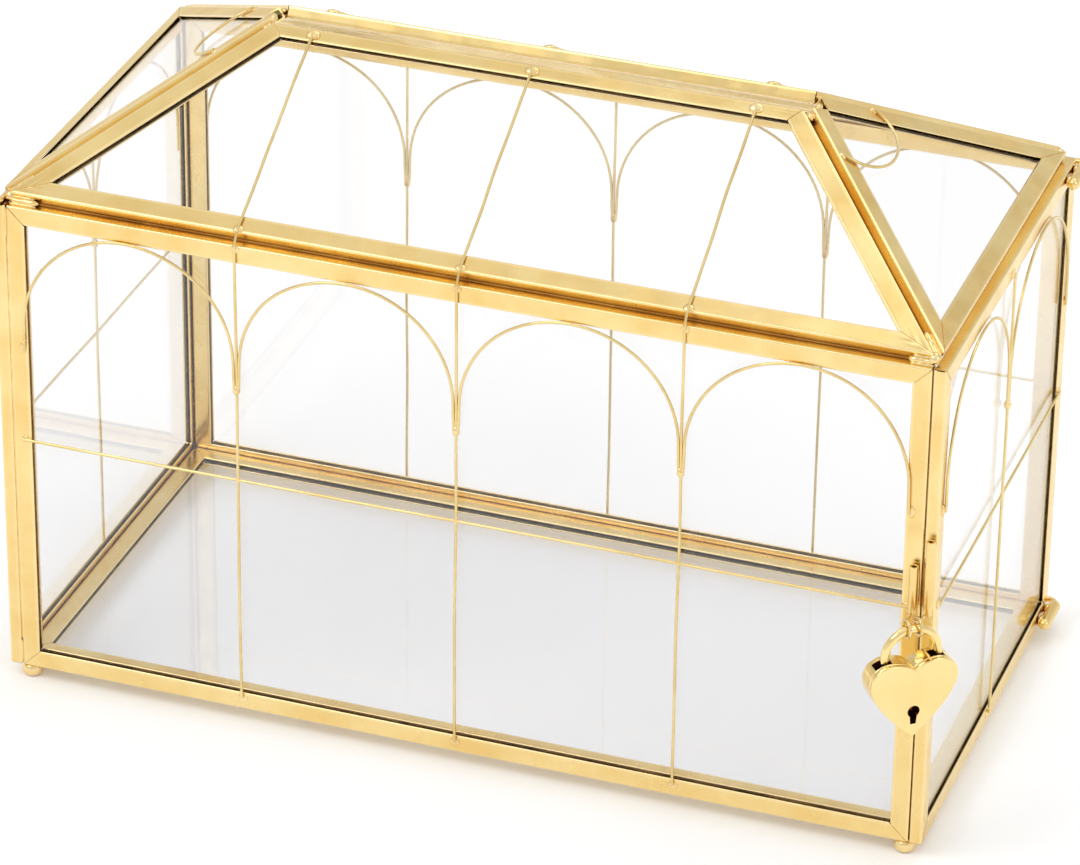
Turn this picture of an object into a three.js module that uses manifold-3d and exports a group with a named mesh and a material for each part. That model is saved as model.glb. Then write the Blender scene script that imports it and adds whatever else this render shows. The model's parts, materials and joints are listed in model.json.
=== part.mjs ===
// Glass card box shaped like a small greenhouse, in millimetres, +Z up, front facing -Y.
// Every glass panel is edged with brass U channel (came), mitred at its corners.
// The right end panel is a door on a vertical wire hinge. A heart padlock hangs through
// two wire eyes at the front right corner. Cards go in through a slot along the ridge.
import * as THREE from 'three';
import { mergeVertices } from 'three/addons/utils/BufferGeometryUtils.js';
import Module from 'manifold-3d';

const wasm = await Module();
wasm.setup();

// Walls and roof
const frontLength = 250;
const caseWidth = 126;
const wallHeight = 140;
const footHeight = 4;
const ridgeLength = 146;
const ridgeRise = 32.8;
const slotWidth = 8;

// Came and glass
const cameWidth = 3.4;
const cameDepth = 5;
const ridgeCameDepth = 3.9;
const cameWall = 0.5;
const glassThickness = 1.8;
const gap = 0.3;
const weldDistance = 1e-4;

// Wires laid over the glass
const wireRadius = 0.4;
const wireSides = 6;
const wireEnd = 3.5;
const barHeight = 71;
const nodeHeight = 98;
const archTop = 135;
const archLegOffset = 0.8;
const archSteps = 14;
const wireBendRise = 0.2;
const longBays = 4;
const shortBays = 2;
const solderNodeRadius = 1;
const solderBendRadius = 0.5;

// Ring of wire in each hip end
const loopHalfWidth = 13.7;
const loopDrop = 11.5;
const loopHeight = 48.5;
const loopSteps = 12;

// Door hinge
const hingeX = 126.2;
const hingeY = 65;
const hingeTubeRadius = 1.6;
const hingeTubeBore = 1;
const hingeTubeLength = 100;
const hingeWireRadius = 0.8;
const hingeBend = 1.5;
const hingePinInset = 3;
const hingeArmX = 130.9;
const hingeArmFront = 50;
const hingeArmInset = 2;
const hingeArmSteps = 14;
const hingeSleeveRadius = 1.7;
const hingeSleeveLength = 10;

// Latch tubes and the wire eyes that hang from them
const latchTubeRadius = 1.2;
const latchTubeBore = 0.65;
const latchTubeBottom = 70.5;
const caseLatchX = 123.3;
const caseLatchLength = 13.5;
const doorLatchX = 127.3;
const doorLatchLength = 21.5;
const eyeRadius = 2.3;
const eyeSpread = 1.6;
const eyeLegRise = 7;
const eyeKneeRise = 0.6;
const eyeLegDip = 1.1;

// Padlock
const lockX = 125.5;
const lockY = -71.5;
const lockTurn = THREE.MathUtils.degToRad(40);
const shackleHeight = 70;
const shackleRadius = 7.3;
const shackleWire = 1.15;
const shackleFreeEnd = -11.4;
const shacklePivotEnd = -12;
const eyeRise = 0.4;
const heartHalfWidth = 12;
const heartHalfHeight = 11;
const heartNotch = 8.7;
const heartCentre = -19.3;
const lockFront = -3.25;
const lockBack = 3.25;
const facePlate = 1.1;
const keyholeDrop = 3.4;
const keyChamberRadius = 2.6;
const keyChamberDepth = 3;
const keyPinRadius = 0.6;
const keyholeRadius = 1.65;
const keyholeSlot = 0.95;
const keyholeLength = 3.7;
const pocketClearance = 0.35;
const pivotPocket = { left: 2.9, right: 1.6, below: 0.6 };
const freePocket = { left: 2.5, right: 1.55, below: 0.8 };

const footRadius = 3;
const footInset = 1.5;
const footProfile = [[0, 0], [0.55, 0], [0.88, 0.2], [1, 0.5], [0.88, 0.8], [0.6, 1], [0, 1]];

const halfLength = frontLength / 2;
const halfWidth = caseWidth / 2;
const innerY = halfWidth - cameWidth;
const endInnerX = halfLength + gap;
const eaveX = halfLength + gap / 2;
const eaveZ = footHeight + wallHeight + gap;
const roofRun = innerY - slotWidth / 2;
const hipRun = eaveX - ridgeLength / 2;
const roofSlope = Math.hypot(roofRun, ridgeRise);
const hipSlope = Math.hypot(hipRun, ridgeRise);
const roofPitch = Math.atan2(ridgeRise, roofRun);
const hipPitch = Math.atan2(ridgeRise, hipRun);
const wirePlane = cameWidth + gap + wireRadius;

const brass = { color: 0xe6c678, roughness: 0.3, metalness: 1 };
const wireBrass = { color: 0xd9c27e, roughness: 0.35, metalness: 1 };
const polishedGold = { color: 0xf2d488, roughness: 0.12, metalness: 1 };
const clearGlass = { color: 0xe9eeee, roughness: 0.03, metalness: 0, transparent: true, opacity: 0.3 };

const vector = (x, y, z) => new THREE.Vector3(x, y, z);
const point = (x, y) => new THREE.Vector2(x, y);

function named(name, geometry, finish) {
  const mesh = new THREE.Mesh(geometry, new THREE.MeshStandardMaterial(finish));
  mesh.name = name;
  return mesh;
}

// Solids: joining and cutting

function toSolid(geometry) {
  const bare = geometry.index ? geometry.clone() : geometry;
  bare.deleteAttribute('normal');
  bare.deleteAttribute('uv');
  const welded = mergeVertices(bare, weldDistance);
  return new wasm.Manifold(new wasm.Mesh({
    numProp: 3,
    vertProperties: new Float32Array(welded.attributes.position.array),
    triVerts: new Uint32Array(welded.index.array),
  }));
}

function toGeometry(solid) {
  const mesh = solid.getMesh();
  const geometry = new THREE.BufferGeometry();
  geometry.setAttribute('position', new THREE.BufferAttribute(mesh.vertProperties, 3));
  geometry.setIndex(new THREE.BufferAttribute(mesh.triVerts, 1));
  geometry.computeVertexNormals();
  return geometry;
}

function cut(geometry, ...tools) {
  return toGeometry(tools.reduce((solid, tool) => solid.subtract(toSolid(tool)), toSolid(geometry)));
}

function join(...geometries) {
  const [first, ...rest] = geometries.map(toSolid);
  return toGeometry(rest.reduce((solid, next) => solid.add(next), first));
}

// Simple shapes

function plate(points, low, high) {
  const depth = high - low;
  return new THREE.ExtrudeGeometry(new THREE.Shape(points), { depth, bevelEnabled: false })
    .translate(0, 0, low);
}

function rod(start, end, radius = wireRadius, sides = wireSides) {
  const along = end.clone().sub(start);
  const geometry = new THREE.CylinderGeometry(radius, radius, along.length(), sides);
  const turn = new THREE.Quaternion().setFromUnitVectors(vector(0, 1, 0), along.clone().normalize());
  return geometry.applyQuaternion(turn).translate(...start.clone().add(end).multiplyScalar(0.5));
}

function bentWire(points, radius, sides, steps) {
  const section = new THREE.Shape();
  section.absarc(0, 0, radius, 0, 2 * Math.PI);
  const extrudePath = new THREE.CatmullRomCurve3(points, false, 'centripetal');
  return new THREE.ExtrudeGeometry(section, { steps, extrudePath, curveSegments: sides / 2 });
}

function ball(centre, radius) {
  return new THREE.SphereGeometry(radius, 8, 6).translate(centre.x, centre.y, centre.z);
}

function tube(radius, bore, length) {
  const ring = new THREE.Shape();
  ring.absarc(0, 0, radius, 0, 2 * Math.PI);
  const hole = new THREE.Path();
  hole.absarc(0, 0, bore, 0, 2 * Math.PI, true);
  ring.holes.push(hole);
  return new THREE.ExtrudeGeometry(ring, { depth: length, bevelEnabled: false, curveSegments: 8 });
}

// Panels: a pane and the came round it

// A panel lies in its own XY plane, its outline anticlockwise seen from outside,
// its inner face at z = 0 and its outer face at z = cameWidth.

// depths gives how far the came on each edge reaches over the glass.
function edgesOf(outline, depths = []) {
  return outline.map((start, i) => {
    const end = outline[(i + 1) % outline.length];
    const inward = point(start.y - end.y, end.x - start.x).normalize();
    return { start, end, inward, offset: inward.dot(start), depth: depths[i] };
  });
}

// Keeps the part of a polygon where inward . p >= offset.
function clip(points, inward, offset) {
  const kept = [];
  points.forEach((p, i) => {
    const next = points[(i + 1) % points.length];
    const here = inward.dot(p) - offset;
    const there = inward.dot(next) - offset;
    if (here >= 0) kept.push(p);
    if (here * there < 0) kept.push(p.clone().lerp(next, here / (here - there)));
  });
  return kept;
}

function inset(outline, depths) {
  return edgesOf(outline, depths)
    .reduce((points, edge) => clip(points, edge.inward, edge.offset + edge.depth), outline);
}

// The strip of came along one edge, cut back to the mitre at each neighbour. A mitre runs
// from the outer corner to the inner one, so it turns where the two depths differ.
function cameStrip(outline, edge, neighbours) {
  let strip = clip(outline, edge.inward.clone().negate(), -(edge.offset + edge.depth));
  for (const other of neighbours) {
    const across = other.inward.clone().divideScalar(other.depth)
      .sub(edge.inward.clone().divideScalar(edge.depth));
    const mitre = other.offset / other.depth - edge.offset / edge.depth;
    strip = clip(strip, across, mitre + (gap / 2) * across.length());
  }
  return strip;
}

function came(outline, edge, neighbours) {
  const along = edge.end.clone().sub(edge.start).normalize();
  const over = 2 * edge.depth;
  const corner = (from, side, depth) =>
    from.clone().addScaledVector(along, side * over).addScaledVector(edge.inward, depth);
  const groove = [
    corner(edge.start, -1, cameWall), corner(edge.end, 1, cameWall),
    corner(edge.end, 1, over), corner(edge.start, -1, over),
  ];
  const strip = cameStrip(outline, edge, neighbours);
  return cut(plate(strip, 0, cameWidth), plate(groove, cameWall, cameWidth - cameWall));
}

function pane(outline, depths) {
  const low = (cameWidth - glassThickness) / 2;
  return plate(inset(outline, depths), low, low + glassThickness);
}

// cames names the came on each edge of the outline with its depth; an edge with none has null.
function panel(name, outline, cames, bareInset = 0) {
  const group = new THREE.Group();
  const edges = edgesOf(outline, cames.map((side) => side && side.depth));
  const glassInsets = cames.map((side) => (side ? cameWall + gap : bareInset));
  group.add(named(`${name}_glass`, pane(outline, glassInsets), clearGlass));
  cames.forEach((side, i) => {
    if (!side) return;
    const neighbours = edges.filter((other, j) => j !== i && cames[j]);
    group.add(named(`${name}_came_${side.name}`, came(outline, edges[i], neighbours), brass));
  });
  return group;
}

function placed(group, origin, xAxis, yAxis) {
  const zAxis = xAxis.clone().cross(yAxis);
  const frame = new THREE.Matrix4().makeBasis(xAxis, yAxis, zAxis).setPosition(origin);
  frame.decompose(group.position, group.quaternion, group.scale);
  group.updateMatrix();
  return group;
}

const rectangle = (width, height) =>
  [point(0, 0), point(width, 0), point(width, height), point(0, height)];
const trapezoid = (base, top, height) =>
  [point(-base / 2, 0), point(base / 2, 0), point(top / 2, height), point(-top / 2, height)];
const side = (name, depth = cameDepth) => ({ name, depth });
const wallCames = [side('bottom'), side('right'), side('top'), side('left')];
const roofCames = [side('bottom'), side('right'), side('top', ridgeCameDepth), side('left')];
const hipCames = [side('bottom'), side('right'), null, side('left')];
const up = vector(0, 0, 1);

const frontFrame = { origin: vector(-halfLength, -innerY, footHeight), x: vector(1, 0, 0), y: up };
const backFrame = { origin: vector(halfLength, innerY, footHeight), x: vector(-1, 0, 0), y: up };
const leftFrame = { origin: vector(-endInnerX, halfWidth, footHeight), x: vector(0, -1, 0), y: up };
const doorFrame = { origin: vector(endInnerX, -halfWidth, footHeight), x: vector(0, 1, 0), y: up };
const frontRoofFrame = {
  origin: vector(0, -innerY, eaveZ),
  x: vector(1, 0, 0),
  y: vector(0, Math.cos(roofPitch), Math.sin(roofPitch)),
};
const backRoofFrame = {
  origin: vector(0, innerY, eaveZ),
  x: vector(-1, 0, 0),
  y: vector(0, -Math.cos(roofPitch), Math.sin(roofPitch)),
};
const rightHipFrame = {
  origin: vector(eaveX, 0, eaveZ),
  x: vector(0, 1, 0),
  y: vector(-Math.cos(hipPitch), 0, Math.sin(hipPitch)),
};
const leftHipFrame = {
  origin: vector(-eaveX, 0, eaveZ),
  x: vector(0, -1, 0),
  y: vector(Math.cos(hipPitch), 0, Math.sin(hipPitch)),
};

function put(group, frame) {
  return placed(group, frame.origin, frame.x, frame.y);
}

function wall(name, width, frame) {
  return put(panel(name, rectangle(width, wallHeight), wallCames), frame);
}

function roofPanel(name, frame) {
  const full = trapezoid(2 * eaveX, ridgeLength, roofSlope);
  return put(panel(name, inset(full, [0, gap / 2, 0, gap / 2]), roofCames), frame);
}

function hipPanel(name, frame) {
  const full = trapezoid(2 * innerY, slotWidth, hipSlope);
  const outline = inset(full, [0, gap / 2, 0, gap / 2]);
  return put(panel(name, outline, hipCames, cameDepth / 2), frame);
}

function basePanel() {
  const outline = rectangle(frontLength, 2 * (innerY - gap));
  const all = (depth) => inset(outline, [depth, depth, depth, depth]);
  const frame = cut(
    plate(outline, 0, cameWidth),
    plate(all(cameDepth), -gap, cameWidth + gap),
    plate(all(cameWall), cameWall, cameWidth - cameWall),
  );
  const group = new THREE.Group();
  const depth = cameWall + gap;
  group.add(named('base_glass', pane(outline, [depth, depth, depth, depth]), clearGlass));
  group.add(named('base_came', frame, brass));
  const corner = vector(-halfLength, innerY - gap, footHeight + cameWidth);
  return placed(group, corner, vector(1, 0, 0), vector(0, -1, 0));
}

// Wires over the glass

function frameMatrix(frame) {
  const zAxis = frame.x.clone().cross(frame.y);
  return new THREE.Matrix4().makeBasis(frame.x, frame.y, zAxis).setPosition(frame.origin);
}

// A round arch on straight legs, in a panel's wire plane.
function arch(centre, radius) {
  const springing = archTop - radius;
  const points = [vector(centre - radius, nodeHeight, wirePlane)];
  for (let i = 0; i <= archSteps; i += 1) {
    const angle = Math.PI * (1 - i / archSteps);
    const height = springing + radius * Math.sin(angle);
    points.push(vector(centre + radius * Math.cos(angle), height, wirePlane));
  }
  points.push(vector(centre + radius, nodeHeight, wirePlane));
  return bentWire(points, wireRadius, wireSides, archSteps + 4);
}

// Uprights, one level bar and a row of arches between the uprights.
function wallWires(width, bays, topY) {
  const bay = (width - 2 * wireEnd) / bays;
  const bar = rod(vector(wireEnd, barHeight, wirePlane), vector(width - wireEnd, barHeight, wirePlane));
  const solids = [bar];
  for (let i = 1; i < bays; i += 1) {
    const x = wireEnd + i * bay;
    solids.push(rod(vector(x, wireEnd, wirePlane), vector(x, topY, wirePlane)));
    solids.push(ball(vector(x, nodeHeight, wirePlane), solderNodeRadius));
  }
  for (let i = 0; i < bays; i += 1) {
    solids.push(arch(wireEnd + (i + 0.5) * bay, bay / 2 - archLegOffset));
  }
  return solids;
}

// Wall wires of a long side, carried over the eave and up the roof to the ridge.
function longSideWires(name, wallFrame, roofFrame) {
  const onWall = frameMatrix(wallFrame);
  const onRoof = frameMatrix(roofFrame);
  const bendY = wallHeight + wireBendRise;
  const solids = wallWires(frontLength, longBays, bendY).map((wire) => wire.applyMatrix4(onWall));
  const bay = (frontLength - 2 * wireEnd) / longBays;
  for (let i = 1; i < longBays; i += 1) {
    const x = wireEnd + i * bay;
    const low = vector(x, bendY, wirePlane).applyMatrix4(onWall);
    const eave = vector(x - halfLength, 0, wirePlane).applyMatrix4(onRoof);
    const ridge = vector(x - halfLength, roofSlope - wireEnd / 2, wirePlane).applyMatrix4(onRoof);
    solids.push(rod(low, eave), rod(eave, ridge));
    solids.push(ball(low, solderBendRadius), ball(eave, solderBendRadius));
  }
  return named(name, join(...solids), wireBrass);
}

function shortSideWires(name, frame) {
  const solids = wallWires(caseWidth, shortBays, wallHeight - wireEnd);
  return named(name, join(...solids).applyMatrix4(frameMatrix(frame)), wireBrass);
}

function hipLoop(name, frame) {
  const points = [];
  for (let i = 0; i <= loopSteps; i += 1) {
    const angle = (Math.PI * i) / loopSteps;
    const height = loopHeight - loopDrop * Math.sin(angle);
    points.push(vector(loopHalfWidth * Math.cos(angle), height, wirePlane));
  }
  const loop = bentWire(points, wireRadius, wireSides, loopSteps + 4);
  return named(name, loop.applyMatrix4(frameMatrix(frame)), wireBrass);
}

// Door hinge

function hingeTube() {
  const low = footHeight + (wallHeight - hingeTubeLength) / 2;
  const geometry = tube(hingeTubeRadius, hingeTubeBore, hingeTubeLength).translate(hingeX, hingeY, low);
  return named('hinge_tube', geometry, brass);
}

// The hinge pin is one wire: upright in the tube, with both ends bent round the door's
// rear edge and soldered in a sleeve on its outer face.
function hingeArm(level, inward) {
  const front = hingeArmFront + hingeSleeveRadius;
  const points = [
    vector(hingeX, hingeY, level + inward * (hingePinInset + wireRadius / 2)),
    vector(hingeX + 0.15 * hingeBend, hingeY, level + inward * 0.8 * hingeBend),
    vector(hingeX + hingeBend, hingeY, level),
    vector(hingeArmX - 0.9 * hingeBend, hingeY, level),
    vector(hingeArmX, hingeY - 1.3 * hingeBend, level),
    vector(hingeArmX, hingeY - 3 * hingeBend, level),
    vector(hingeArmX, front, level),
  ];
  const sleeve = new THREE.CapsuleGeometry(hingeSleeveRadius, hingeSleeveLength, 3, 12)
    .translate(hingeArmX, front + hingeSleeveLength / 2, level);
  return [bentWire(points, hingeWireRadius, 8, hingeArmSteps), sleeve];
}

function hingeWire() {
  const low = footHeight + hingeArmInset;
  const high = footHeight + wallHeight - hingeArmInset;
  const bottom = vector(hingeX, hingeY, low + hingePinInset);
  const top = vector(hingeX, hingeY, high - hingePinInset);
  const pin = rod(bottom, top, hingeWireRadius, 12);
  return named('hinge_wire', join(pin, ...hingeArm(low, 1), ...hingeArm(high, -1)), brass);
}

// Latch

const latchY = -halfWidth - gap - latchTubeRadius;
const shackleZ = footHeight + shackleHeight;
const lockAcross = vector(Math.cos(lockTurn), Math.sin(lockTurn), 0);
const lockInward = vector(-Math.sin(lockTurn), Math.cos(lockTurn), 0);

function latchTube(name, x, length) {
  const geometry = tube(latchTubeRadius, latchTubeBore, length);
  return named(name, geometry.translate(x, latchY, footHeight + latchTubeBottom), brass);
}

// A wire ring round the shackle, with a leg that runs back and up into its latch tube.
function latchEye(name, tubeX, side) {
  const centre = vector(lockX, lockY, shackleZ + eyeRise).addScaledVector(lockAcross, side * eyeSpread);
  const ring = new THREE.TorusGeometry(eyeRadius, wireRadius, 6, 18)
    .rotateY(Math.PI / 2).rotateZ(lockTurn).translate(centre.x, centre.y, centre.z);
  const joinPoint = centre.clone().addScaledVector(lockInward, eyeRadius);
  const bottom = footHeight + latchTubeBottom;
  const inTube = vector(tubeX, latchY, bottom + eyeLegRise);
  const knee = vector(tubeX, latchY, bottom + eyeKneeRise);
  const under = knee.clone().lerp(joinPoint, 0.15).setZ(bottom - 0.65 * eyeLegDip);
  const lowest = knee.clone().lerp(joinPoint, 0.5).setZ(bottom - eyeLegDip);
  const leg = bentWire([inTube, knee, under, lowest, joinPoint], wireRadius, wireSides, 14);
  return named(name, join(ring, leg), wireBrass);
}

// Padlock

// Padlock parts are drawn in a group with its origin at the crown of the shackle,
// x across the lock, -y out of its face and z up.

function heartOutline() {
  const heart = new THREE.Shape();
  const w = heartHalfWidth;
  const h = heartHalfHeight;
  heart.moveTo(0, heartNotch);
  heart.bezierCurveTo(0.1 * w, 0.92 * h, 0.3 * w, h, 0.54 * w, h);
  heart.bezierCurveTo(0.81 * w, h, w, 0.8 * h, w, 0.5 * h);
  heart.bezierCurveTo(w, 0.12 * h, 0.56 * w, -0.5 * h, 0, -h);
  heart.bezierCurveTo(-0.56 * w, -0.5 * h, -w, 0.12 * h, -w, 0.5 * h);
  heart.bezierCurveTo(-w, 0.8 * h, -0.81 * w, h, -0.54 * w, h);
  heart.bezierCurveTo(-0.3 * w, h, -0.1 * w, 0.92 * h, 0, heartNotch);
  return heart;
}

function heartPlate(front, back) {
  const settings = { depth: back - front, bevelEnabled: false, curveSegments: 6 };
  return new THREE.ExtrudeGeometry(heartOutline(), settings)
    .rotateX(Math.PI / 2).translate(0, back, heartCentre);
}

// The well in the body that one leg of the shackle drops into.
function bodyPocket(legX, legEnd, pocket) {
  const floor = legEnd - pocket.below;
  const top = heartCentre + heartHalfHeight + 2;
  const thickness = 2 * (shackleWire + pocketClearance);
  return new THREE.BoxGeometry(pocket.left + pocket.right, thickness, top - floor)
    .translate(legX + (pocket.right - pocket.left) / 2, 0, (top + floor) / 2);
}

function keyholeCut(front, back) {
  const keyhole = new THREE.Shape();
  const start = -Math.acos(keyholeSlot / keyholeRadius);
  keyhole.absarc(0, 0, keyholeRadius, start, Math.PI - start);
  keyhole.lineTo(-0.8 * keyholeSlot, -keyholeLength);
  keyhole.lineTo(0.8 * keyholeSlot, -keyholeLength);
  const settings = { depth: back - front, bevelEnabled: false, curveSegments: 10 };
  return new THREE.ExtrudeGeometry(keyhole, settings)
    .rotateX(Math.PI / 2).translate(0, back, heartCentre - keyholeDrop);
}

function lockCylinder(radius, front, back, sides) {
  return new THREE.CylinderGeometry(radius, radius, back - front, sides)
    .translate(0, (front + back) / 2, heartCentre - keyholeDrop);
}

function padlock() {
  const group = new THREE.Group();
  const bodyFront = lockFront + facePlate + gap;
  const chamberFloor = bodyFront + keyChamberDepth;
  const body = cut(
    heartPlate(bodyFront, lockBack),
    bodyPocket(-shackleRadius, shacklePivotEnd, pivotPocket),
    bodyPocket(shackleRadius, shackleFreeEnd, freePocket),
    lockCylinder(keyChamberRadius, bodyFront - gap, chamberFloor, 20),
    keyholeCut(bodyFront - gap, chamberFloor),
  );
  const faceBack = lockFront + facePlate;
  const face = cut(heartPlate(lockFront, faceBack), keyholeCut(lockFront - gap, faceBack + gap));
  const keyPin = lockCylinder(keyPinRadius, bodyFront + gap, chamberFloor - gap, 10);
  group.add(named('padlock_body', body, polishedGold));
  group.add(named('padlock_face', face, polishedGold));
  group.add(named('padlock_key_pin', keyPin, brass));
  group.add(named('padlock_shackle', shackle(), polishedGold));
  group.position.set(lockX, lockY, shackleZ);
  group.rotation.z = lockTurn;
  return group;
}

function shackle() {
  const steps = 12;
  const points = [vector(-shackleRadius, 0, shacklePivotEnd)];
  for (let i = 0; i <= steps; i += 1) {
    const angle = Math.PI * (1 - i / steps);
    points.push(vector(
      shackleRadius * Math.cos(angle), 0, shackleRadius * (Math.sin(angle) - 1),
    ));
  }
  points.push(vector(shackleRadius, 0, shackleFreeEnd));
  return bentWire(points, shackleWire, 10, 22);
}

// Feet

function foot(name, x, y) {
  const top = footHeight - gap;
  const profile = footProfile.map(([out, rise]) => point(out * footRadius, rise * top));
  const mesh = named(name, new THREE.LatheGeometry(profile, 16).rotateX(Math.PI / 2), brass);
  mesh.position.set(x, y, 0);
  return mesh;
}

// Assembly

const cardBox = new THREE.Group();
cardBox.add(
  wall('front', frontLength, frontFrame),
  wall('back', frontLength, backFrame),
  wall('left', caseWidth, leftFrame),
  wall('door', caseWidth, doorFrame),
  basePanel(),
  roofPanel('front_roof', frontRoofFrame),
  roofPanel('back_roof', backRoofFrame),
  hipPanel('right_hip', rightHipFrame),
  hipPanel('left_hip', leftHipFrame),
  longSideWires('front_wires', frontFrame, frontRoofFrame),
  longSideWires('back_wires', backFrame, backRoofFrame),
  shortSideWires('left_wires', leftFrame),
  shortSideWires('door_wires', doorFrame),
  hipLoop('right_hip_loop', rightHipFrame),
  hipLoop('left_hip_loop', leftHipFrame),
  hingeTube(),
  hingeWire(),
  latchTube('case_latch_tube', caseLatchX, caseLatchLength),
  latchTube('door_latch_tube', doorLatchX, doorLatchLength),
  latchEye('case_eye', caseLatchX, -1),
  latchEye('door_eye', doorLatchX, 1),
  padlock(),
);

for (const [end, x] of [['left', -halfLength + footInset], ['right', halfLength - footInset]]) {
  for (const [row, y] of [['front', -halfWidth + footRadius], ['back', halfWidth - footRadius]]) {
    cardBox.add(foot(`foot_${row}_${end}`, x, y));
  }
}

// The origin is the bottom centre of the whole object.
const bounds = new THREE.Box3().setFromObject(cardBox, true);
const middle = bounds.getCenter(vector(0, 0, 0));
cardBox.position.set(-middle.x, -middle.y, -bounds.min.z);

const model = new THREE.Group();
model.add(cardBox);
export default model;
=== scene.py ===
import json
import math

import bmesh
import bpy
import numpy as np
from mathutils import Matrix, Vector

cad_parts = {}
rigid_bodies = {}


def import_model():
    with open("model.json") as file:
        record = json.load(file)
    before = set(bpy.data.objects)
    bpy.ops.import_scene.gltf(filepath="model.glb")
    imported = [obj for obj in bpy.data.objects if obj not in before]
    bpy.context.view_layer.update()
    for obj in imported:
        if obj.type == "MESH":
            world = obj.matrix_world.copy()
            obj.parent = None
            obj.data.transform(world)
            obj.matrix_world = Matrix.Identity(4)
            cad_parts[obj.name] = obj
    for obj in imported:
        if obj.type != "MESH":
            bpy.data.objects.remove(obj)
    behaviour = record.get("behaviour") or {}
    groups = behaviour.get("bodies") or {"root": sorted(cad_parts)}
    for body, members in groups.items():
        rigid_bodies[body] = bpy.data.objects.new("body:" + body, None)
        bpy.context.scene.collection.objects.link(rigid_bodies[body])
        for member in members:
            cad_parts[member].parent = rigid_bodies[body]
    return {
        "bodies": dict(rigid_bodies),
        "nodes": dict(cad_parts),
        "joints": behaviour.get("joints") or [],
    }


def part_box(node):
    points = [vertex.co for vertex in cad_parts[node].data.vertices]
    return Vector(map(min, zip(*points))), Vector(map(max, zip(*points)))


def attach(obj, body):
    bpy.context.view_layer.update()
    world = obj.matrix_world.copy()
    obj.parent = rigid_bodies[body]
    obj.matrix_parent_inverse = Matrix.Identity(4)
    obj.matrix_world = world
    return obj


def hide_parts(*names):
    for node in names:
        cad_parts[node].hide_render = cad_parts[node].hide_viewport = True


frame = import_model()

mm = 0.001
scene = bpy.context.scene
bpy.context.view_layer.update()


# where the case is, read from the frame

def boxOf(*nodes):
    corners = [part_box(node) for node in nodes]
    low = Vector([min(c[0][i] for c in corners) for i in range(3)])
    high = Vector([max(c[1][i] for c in corners) for i in range(3)])
    return low, high


sides = ("bottom", "right", "top", "left")
walls = ("front", "back", "left", "door")
caseLow, caseHigh = boxOf(*[f"{wall}_came_{side}" for wall in walls for side in sides])
caseMiddle = (caseLow + caseHigh) / 2
print("frame loaded, case", [round(s / mm, 1) for s in caseHigh - caseLow], "mm")


# camera, floor and light

viewpoint = {
    "lens": 186.3,          # a long lens, so upright edges stay nearly parallel
    "azimuth": 19.06,
    "elevation": 29.48,
    "roll": 0.78,
    "distance": 1.504,
    "aside": 0.9 * mm,      # aim, from the middle of the case's base
    "aimHeight": 64.1 * mm,
    "filmWidth": 36,
    "nearest": 0.05,
}


def makeCamera(v):
    azimuth, elevation, roll = (math.radians(v[k]) for k in ("azimuth", "elevation", "roll"))
    aim = Vector((caseMiddle.x + v["aside"], caseMiddle.y, caseLow.z + v["aimHeight"]))
    flat = math.cos(elevation)
    back = Vector((math.sin(azimuth) * flat, -math.cos(azimuth) * flat, math.sin(elevation)))
    level = Vector((math.cos(azimuth), math.sin(azimuth), 0))
    upright = back.cross(level)
    right = level * math.cos(roll) + upright * math.sin(roll)
    camera = bpy.data.objects.new("camera", bpy.data.cameras.new("camera"))
    camera.data.lens = v["lens"]
    camera.data.sensor_width = v["filmWidth"]
    camera.data.clip_start = v["nearest"]
    camera.matrix_world = Matrix((right, back.cross(right), back)).transposed().to_4x4()
    camera.location = aim + back * v["distance"]
    scene.collection.objects.link(camera)
    scene.camera = camera


studio = {
    "floorSize": 12,
    "floorTone": 0.95,
    "floorRough": 0.8,
    "floorGlow": 0.1,       # a lit table, so shadows stay light
    # brightness of each height of the sky, from the horizon up
    "sky": ((0.0, 0.88), (0.28, 0.86), (0.5, 0.68), (0.72, 0.8), (0.95, 0.98)),
    "lamps": {              # place, size, watts
        "keyLamp": ((-0.9, -0.9, 1.5), (1.1, 0.8), 8),
        "fillLamp": ((1.3, -0.5, 0.9), (0.7, 0.7), 2),
        "backLamp": ((0.3, 1.1, 2.2), (1.4, 0.8), 5),
    },
}


def add(tree, kind, inputs=None, **settings):
    node = tree.nodes.new(kind)
    for name, value in settings.items():
        setattr(node, name, value)
    for key, value in (inputs or {}).items():
        if isinstance(value, bpy.types.NodeSocket):
            tree.links.new(value, node.inputs[key])
        else:
            node.inputs[key].default_value = value
    return node


def result(tree, kind, inputs=None, **settings):
    return add(tree, kind, inputs, **settings).outputs[0]


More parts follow.
